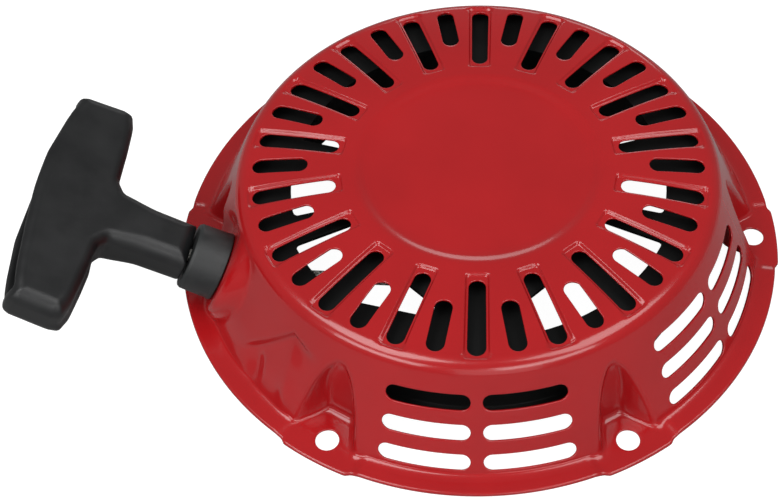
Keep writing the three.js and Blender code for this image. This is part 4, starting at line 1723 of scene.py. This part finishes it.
def sample(x, z):
    fx = np.clip((x - H0) / 0.31, 0, len(gh) - 1.001)
    fz = np.clip((z - D0) / 0.31, 0, len(gd) - 1.001)
    ix, iz = fx.astype(int), fz.astype(int)
    tx, tz = fx - ix, fz - iz
    return (
        FIELD[ix, iz] * (1 - tx) * (1 - tz)
        + FIELD[ix + 1, iz] * tx * (1 - tz)
        + FIELD[ix, iz + 1] * (1 - tx) * tz
        + FIELD[ix + 1, iz + 1] * tx * tz
    )


def grip_field(x, y, z):
    # the lip on the upper side stands back a little from the lower one
    shift = 1.1 * smooth(0, 6, y) * smooth(58, 70, z) * smooth(-10, 22, x)
    shift = shift - 0.9 * smooth(60, 70, z) * (1 - smooth(-2, 20, x)) * smooth(-2, 4, y)
    shift = shift + 1.6 * smooth(0, 6, -y) * smooth(10, 22, x) * (1 - smooth(50, 58, z))
    d2 = sample(x + 0.8 * smooth(28, 44, x), z + shift)
    neck = 1 - smooth(30, 44, z)
    low = smooth(-1, 1, -y)
    R = 4.4 + neck * (1.4 + 1.4 * low)
    near_end = 1 - smooth(13.6, 17.0, z)
    R = R + 1.4 * smooth(38, 46, np.abs(x)) * (1 - neck)
    t = GR_T - 0.0 * neck
    # the top and bottom faces swell very slightly
    t = t - 0.25 * smooth(0, 50, np.abs(x)) - 0.1 * neck
    q1, q2 = d2 + R, np.abs(y) - t + R
    body = np.minimum(np.maximum(q1, q2), 0) + np.hypot(np.maximum(q1, 0), np.maximum(q2, 0)) - R
    # the flat near end of the neck
    body = smax(body, 13.58 - z, 0.9)
    # finger channel along the crown
    cx, cy = np.abs(x) - 43.0, np.abs(y) - 5.3
    ch = np.minimum(np.maximum(cx + 2.0, cy + 2.0), 0) + np.hypot(np.maximum(cx + 2.0, 0), np.maximum(cy + 2.0, 0)) - 2.0
    ch = smax(ch, 66.8 + 0.006 * x * x * 0 - z, 1.5)
    body = smax(body, -ch, 1.6)
    # seat of the washer and the hole for the rope
    seat = smax(np.hypot(x, y) - 5.0, 63.4 - z, 0.4)
    body = smax(body, -seat, 0.5)
    body = smax(body, -(np.hypot(x, y) - 2.85), 0.8)
    return body


def nets(field, lo, hi, h):
    """Quads round the zero level of a field, their corners drawn onto it."""
    n = [int(math.ceil((b - a) / h)) + 1 for a, b in zip(lo, hi)]
    ax = [lo[i] + h * np.arange(n[i]) for i in range(3)]
    X, Y, Z = np.meshgrid(*ax, indexing="ij")
    F = field(X, Y, Z)
    neg = F < 0
    c = np.zeros([m - 1 for m in n], int)
    for dx in (0, 1):
        for dy in (0, 1):
            for dz in (0, 1):
                c += neg[dx : n[0] - 1 + dx, dy : n[1] - 1 + dy, dz : n[2] - 1 + dz]
    act = (c > 0) & (c < 8)
    ids = -np.ones(act.shape, int)
    cells = np.argwhere(act)
    ids[act] = np.arange(len(cells))
    acc = np.zeros((len(cells), 3))
    cnt = np.zeros(len(cells))
    for axis in range(3):
        for u in (0, 1):
            for w_ in (0, 1):
                o = [0, 0, 0]
                other = [k for k in range(3) if k != axis]
                o[other[0]], o[other[1]] = u, w_
                p = cells + o
                q = p.copy()
                q[:, axis] += 1
                fa = F[p[:, 0], p[:, 1], p[:, 2]]
                fb = F[q[:, 0], q[:, 1], q[:, 2]]
                s_ = (fa < 0) != (fb < 0)
                t = np.where(s_, fa / (fa - fb + 1e-12), 0)
                pt = p.astype(float)
                pt[:, axis] += t
                acc[s_] += pt[s_]
                cnt[s_] += 1
    v = np.array(lo) + h * acc / cnt[:, None]
    quads = []
    for axis in range(3):
        b_, c_ = [(1, 2), (2, 0), (0, 1)][axis]
        sl0 = [slice(1, None)] * 3
        A = neg
        sh = [slice(None)] * 3
        sh0, sh1 = list(sh), list(sh)
        sh0[axis] = slice(0, n[axis] - 1)
        sh1[axis] = slice(1, n[axis])
        cross = A[tuple(sh0)] != A[tuple(sh1)]
        e = np.argwhere(cross)
        e = e[(e[:, b_] > 0) & (e[:, c_] > 0) & (e[:, b_] < n[b_] - 1) & (e[:, c_] < n[c_] - 1)]
        first = A[tuple(sh0)][tuple(e.T)]
        def cell(db, dc):
            q = e.copy()
            q[:, b_] += db
            q[:, c_] += dc
            return ids[tuple(q.T)]
        quad = np.stack([cell(-1, -1), cell(0, -1), cell(0, 0), cell(-1, 0)], -1)
        quad = np.where(first[:, None], quad, quad[:, ::-1])
        quads.append(quad)
    quads = np.vstack(quads)
    for _ in range(4):
        f0 = field(*v.T)
        e = 0.02
        g = np.stack(
            [
                field(v[:, 0] + e, v[:, 1], v[:, 2]) - field(v[:, 0] - e, v[:, 1], v[:, 2]),
                field(v[:, 0], v[:, 1] + e, v[:, 2]) - field(v[:, 0], v[:, 1] - e, v[:, 2]),
                field(v[:, 0], v[:, 1], v[:, 2] + e) - field(v[:, 0], v[:, 1], v[:, 2] - e),
            ],
            -1,
        ) / (2 * e)
        gl = np.sum(g * g, axis=1)
        step = g * (f0 / np.maximum(gl, 0.2))[:, None]
        ln = np.linalg.norm(step, axis=1, keepdims=True)
        v = v - step * np.minimum(1, 0.4 * h / np.maximum(ln, 1e-9))
    return v, quads.tolist()


CELL = 0.62
gv, gf = nets(grip_field, (-50.5, -10.4, 12.0), (50.5, 10.4, 76.4), CELL)
gv, gf = outward(gv, gf)
gv2 = on_pull(gv)
if signed_volume(gv2, gf) < 0:
    gf = [q[::-1] for q in gf]
make("pull_grip", gv2, gf, GRIP_PLASTIC, "handle", ["grip"], 0)
turned_piece("rope_washer", [(2.7, 63.75), (4.4, 63.75), (4.4, 64.95), (2.7, 64.95)], 0.25, ZINC, "handle", ["grip_washer"], 64, place=on_pull)
kv, kf = knot(0.86, 1.4)
kv[:, 2] += 68.3
kv = on_pull(kv)
kv, kf = outward(kv, kf)
make("rope_end_knot", kv, kf, ROPE, "handle", ["grip_knot"], 60)


# ------------------------------------------------------------------ stage
me = bpy.data.meshes.new("floor")
s = 12.0
me.from_pydata([(-s, -s, -0.0002), (s, -s, -0.0002), (s, s, -0.0002), (-s, s, -0.0002)], [], [(0, 1, 2, 3)])
floor = bpy.data.objects.new("floor", me)
SCENE.collection.objects.link(floor)
fm = bpy.data.materials.new("floor")
fm.use_nodes = True
nt = fm.node_tree
p = nt.nodes["Principled BSDF"]
p.inputs["Base Color"].default_value = (0.32, 0.32, 0.32, 1)
p.inputs["Roughness"].default_value = 0.9
em = nt.nodes.new("ShaderNodeEmission")
em.inputs["Color"].default_value = (1, 1, 1, 1)
em.inputs["Strength"].default_value = 0.97
add = nt.nodes.new("ShaderNodeAddShader")
lp = nt.nodes.new("ShaderNodeLightPath")
mixs = nt.nodes.new("ShaderNodeMixShader")
out = nt.nodes["Material Output"]
dif = nt.nodes.new("ShaderNodeBsdfDiffuse")
dif.inputs["Color"].default_value = (0.25, 0.25, 0.25, 1)
nt.links.new(dif.outputs[0], add.inputs[0])
nt.links.new(em.outputs[0], add.inputs[1])
nt.links.new(lp.outputs["Is Camera Ray"], mixs.inputs[0])
nt.links.new(p.outputs[0], mixs.inputs[1])
nt.links.new(add.outputs[0], mixs.inputs[2])
nt.links.new(mixs.outputs[0], out.inputs["Surface"])
floor.data.materials.append(fm)

world = bpy.data.worlds.new("world")
SCENE.world = world
world.use_nodes = True
bg = world.node_tree.nodes["Background"]
bg.inputs["Color"].default_value = (1, 1, 1, 1)
bg.inputs["Strength"].default_value = 0.22


def area(name, loc, aim, size, power, size_y=None):
    ld = bpy.data.lights.new(name, "AREA")
    ld.shape = "RECTANGLE"
    ld.size = size
    ld.size_y = size_y or size
    ld.energy = power
    o = bpy.data.objects.new(name, ld)
    SCENE.collection.objects.link(o)
    o.location = loc
    o.rotation_euler = (Vector(aim) - Vector(loc)).to_track_quat("-Z", "Y").to_euler()
    return o


area("left_top", (-0.55, -0.25, 1.25), (0, 0, 0.03), 0.85, 8.3, 0.65)
area("right_top", (0.6, -0.2, 1.2), (0, 0, 0.03), 0.85, 6.4, 0.65)
area("front_soft", (0.2, -1.5, 0.55), (0, 0, 0.03), 0.9, 2.1)
area("back_low", (0.15, 1.5, 0.5), (0, 0, 0.03), 0.9, 1.7, 0.3)
area("front_left", (-0.95, -1.1, 0.95), (0, 0, 0.03), 1.0, 6.6, 0.42)
area("front_right", (0.62, -1.2, 0.95), (0, 0, 0.03), 1.0, 5.4, 0.42)
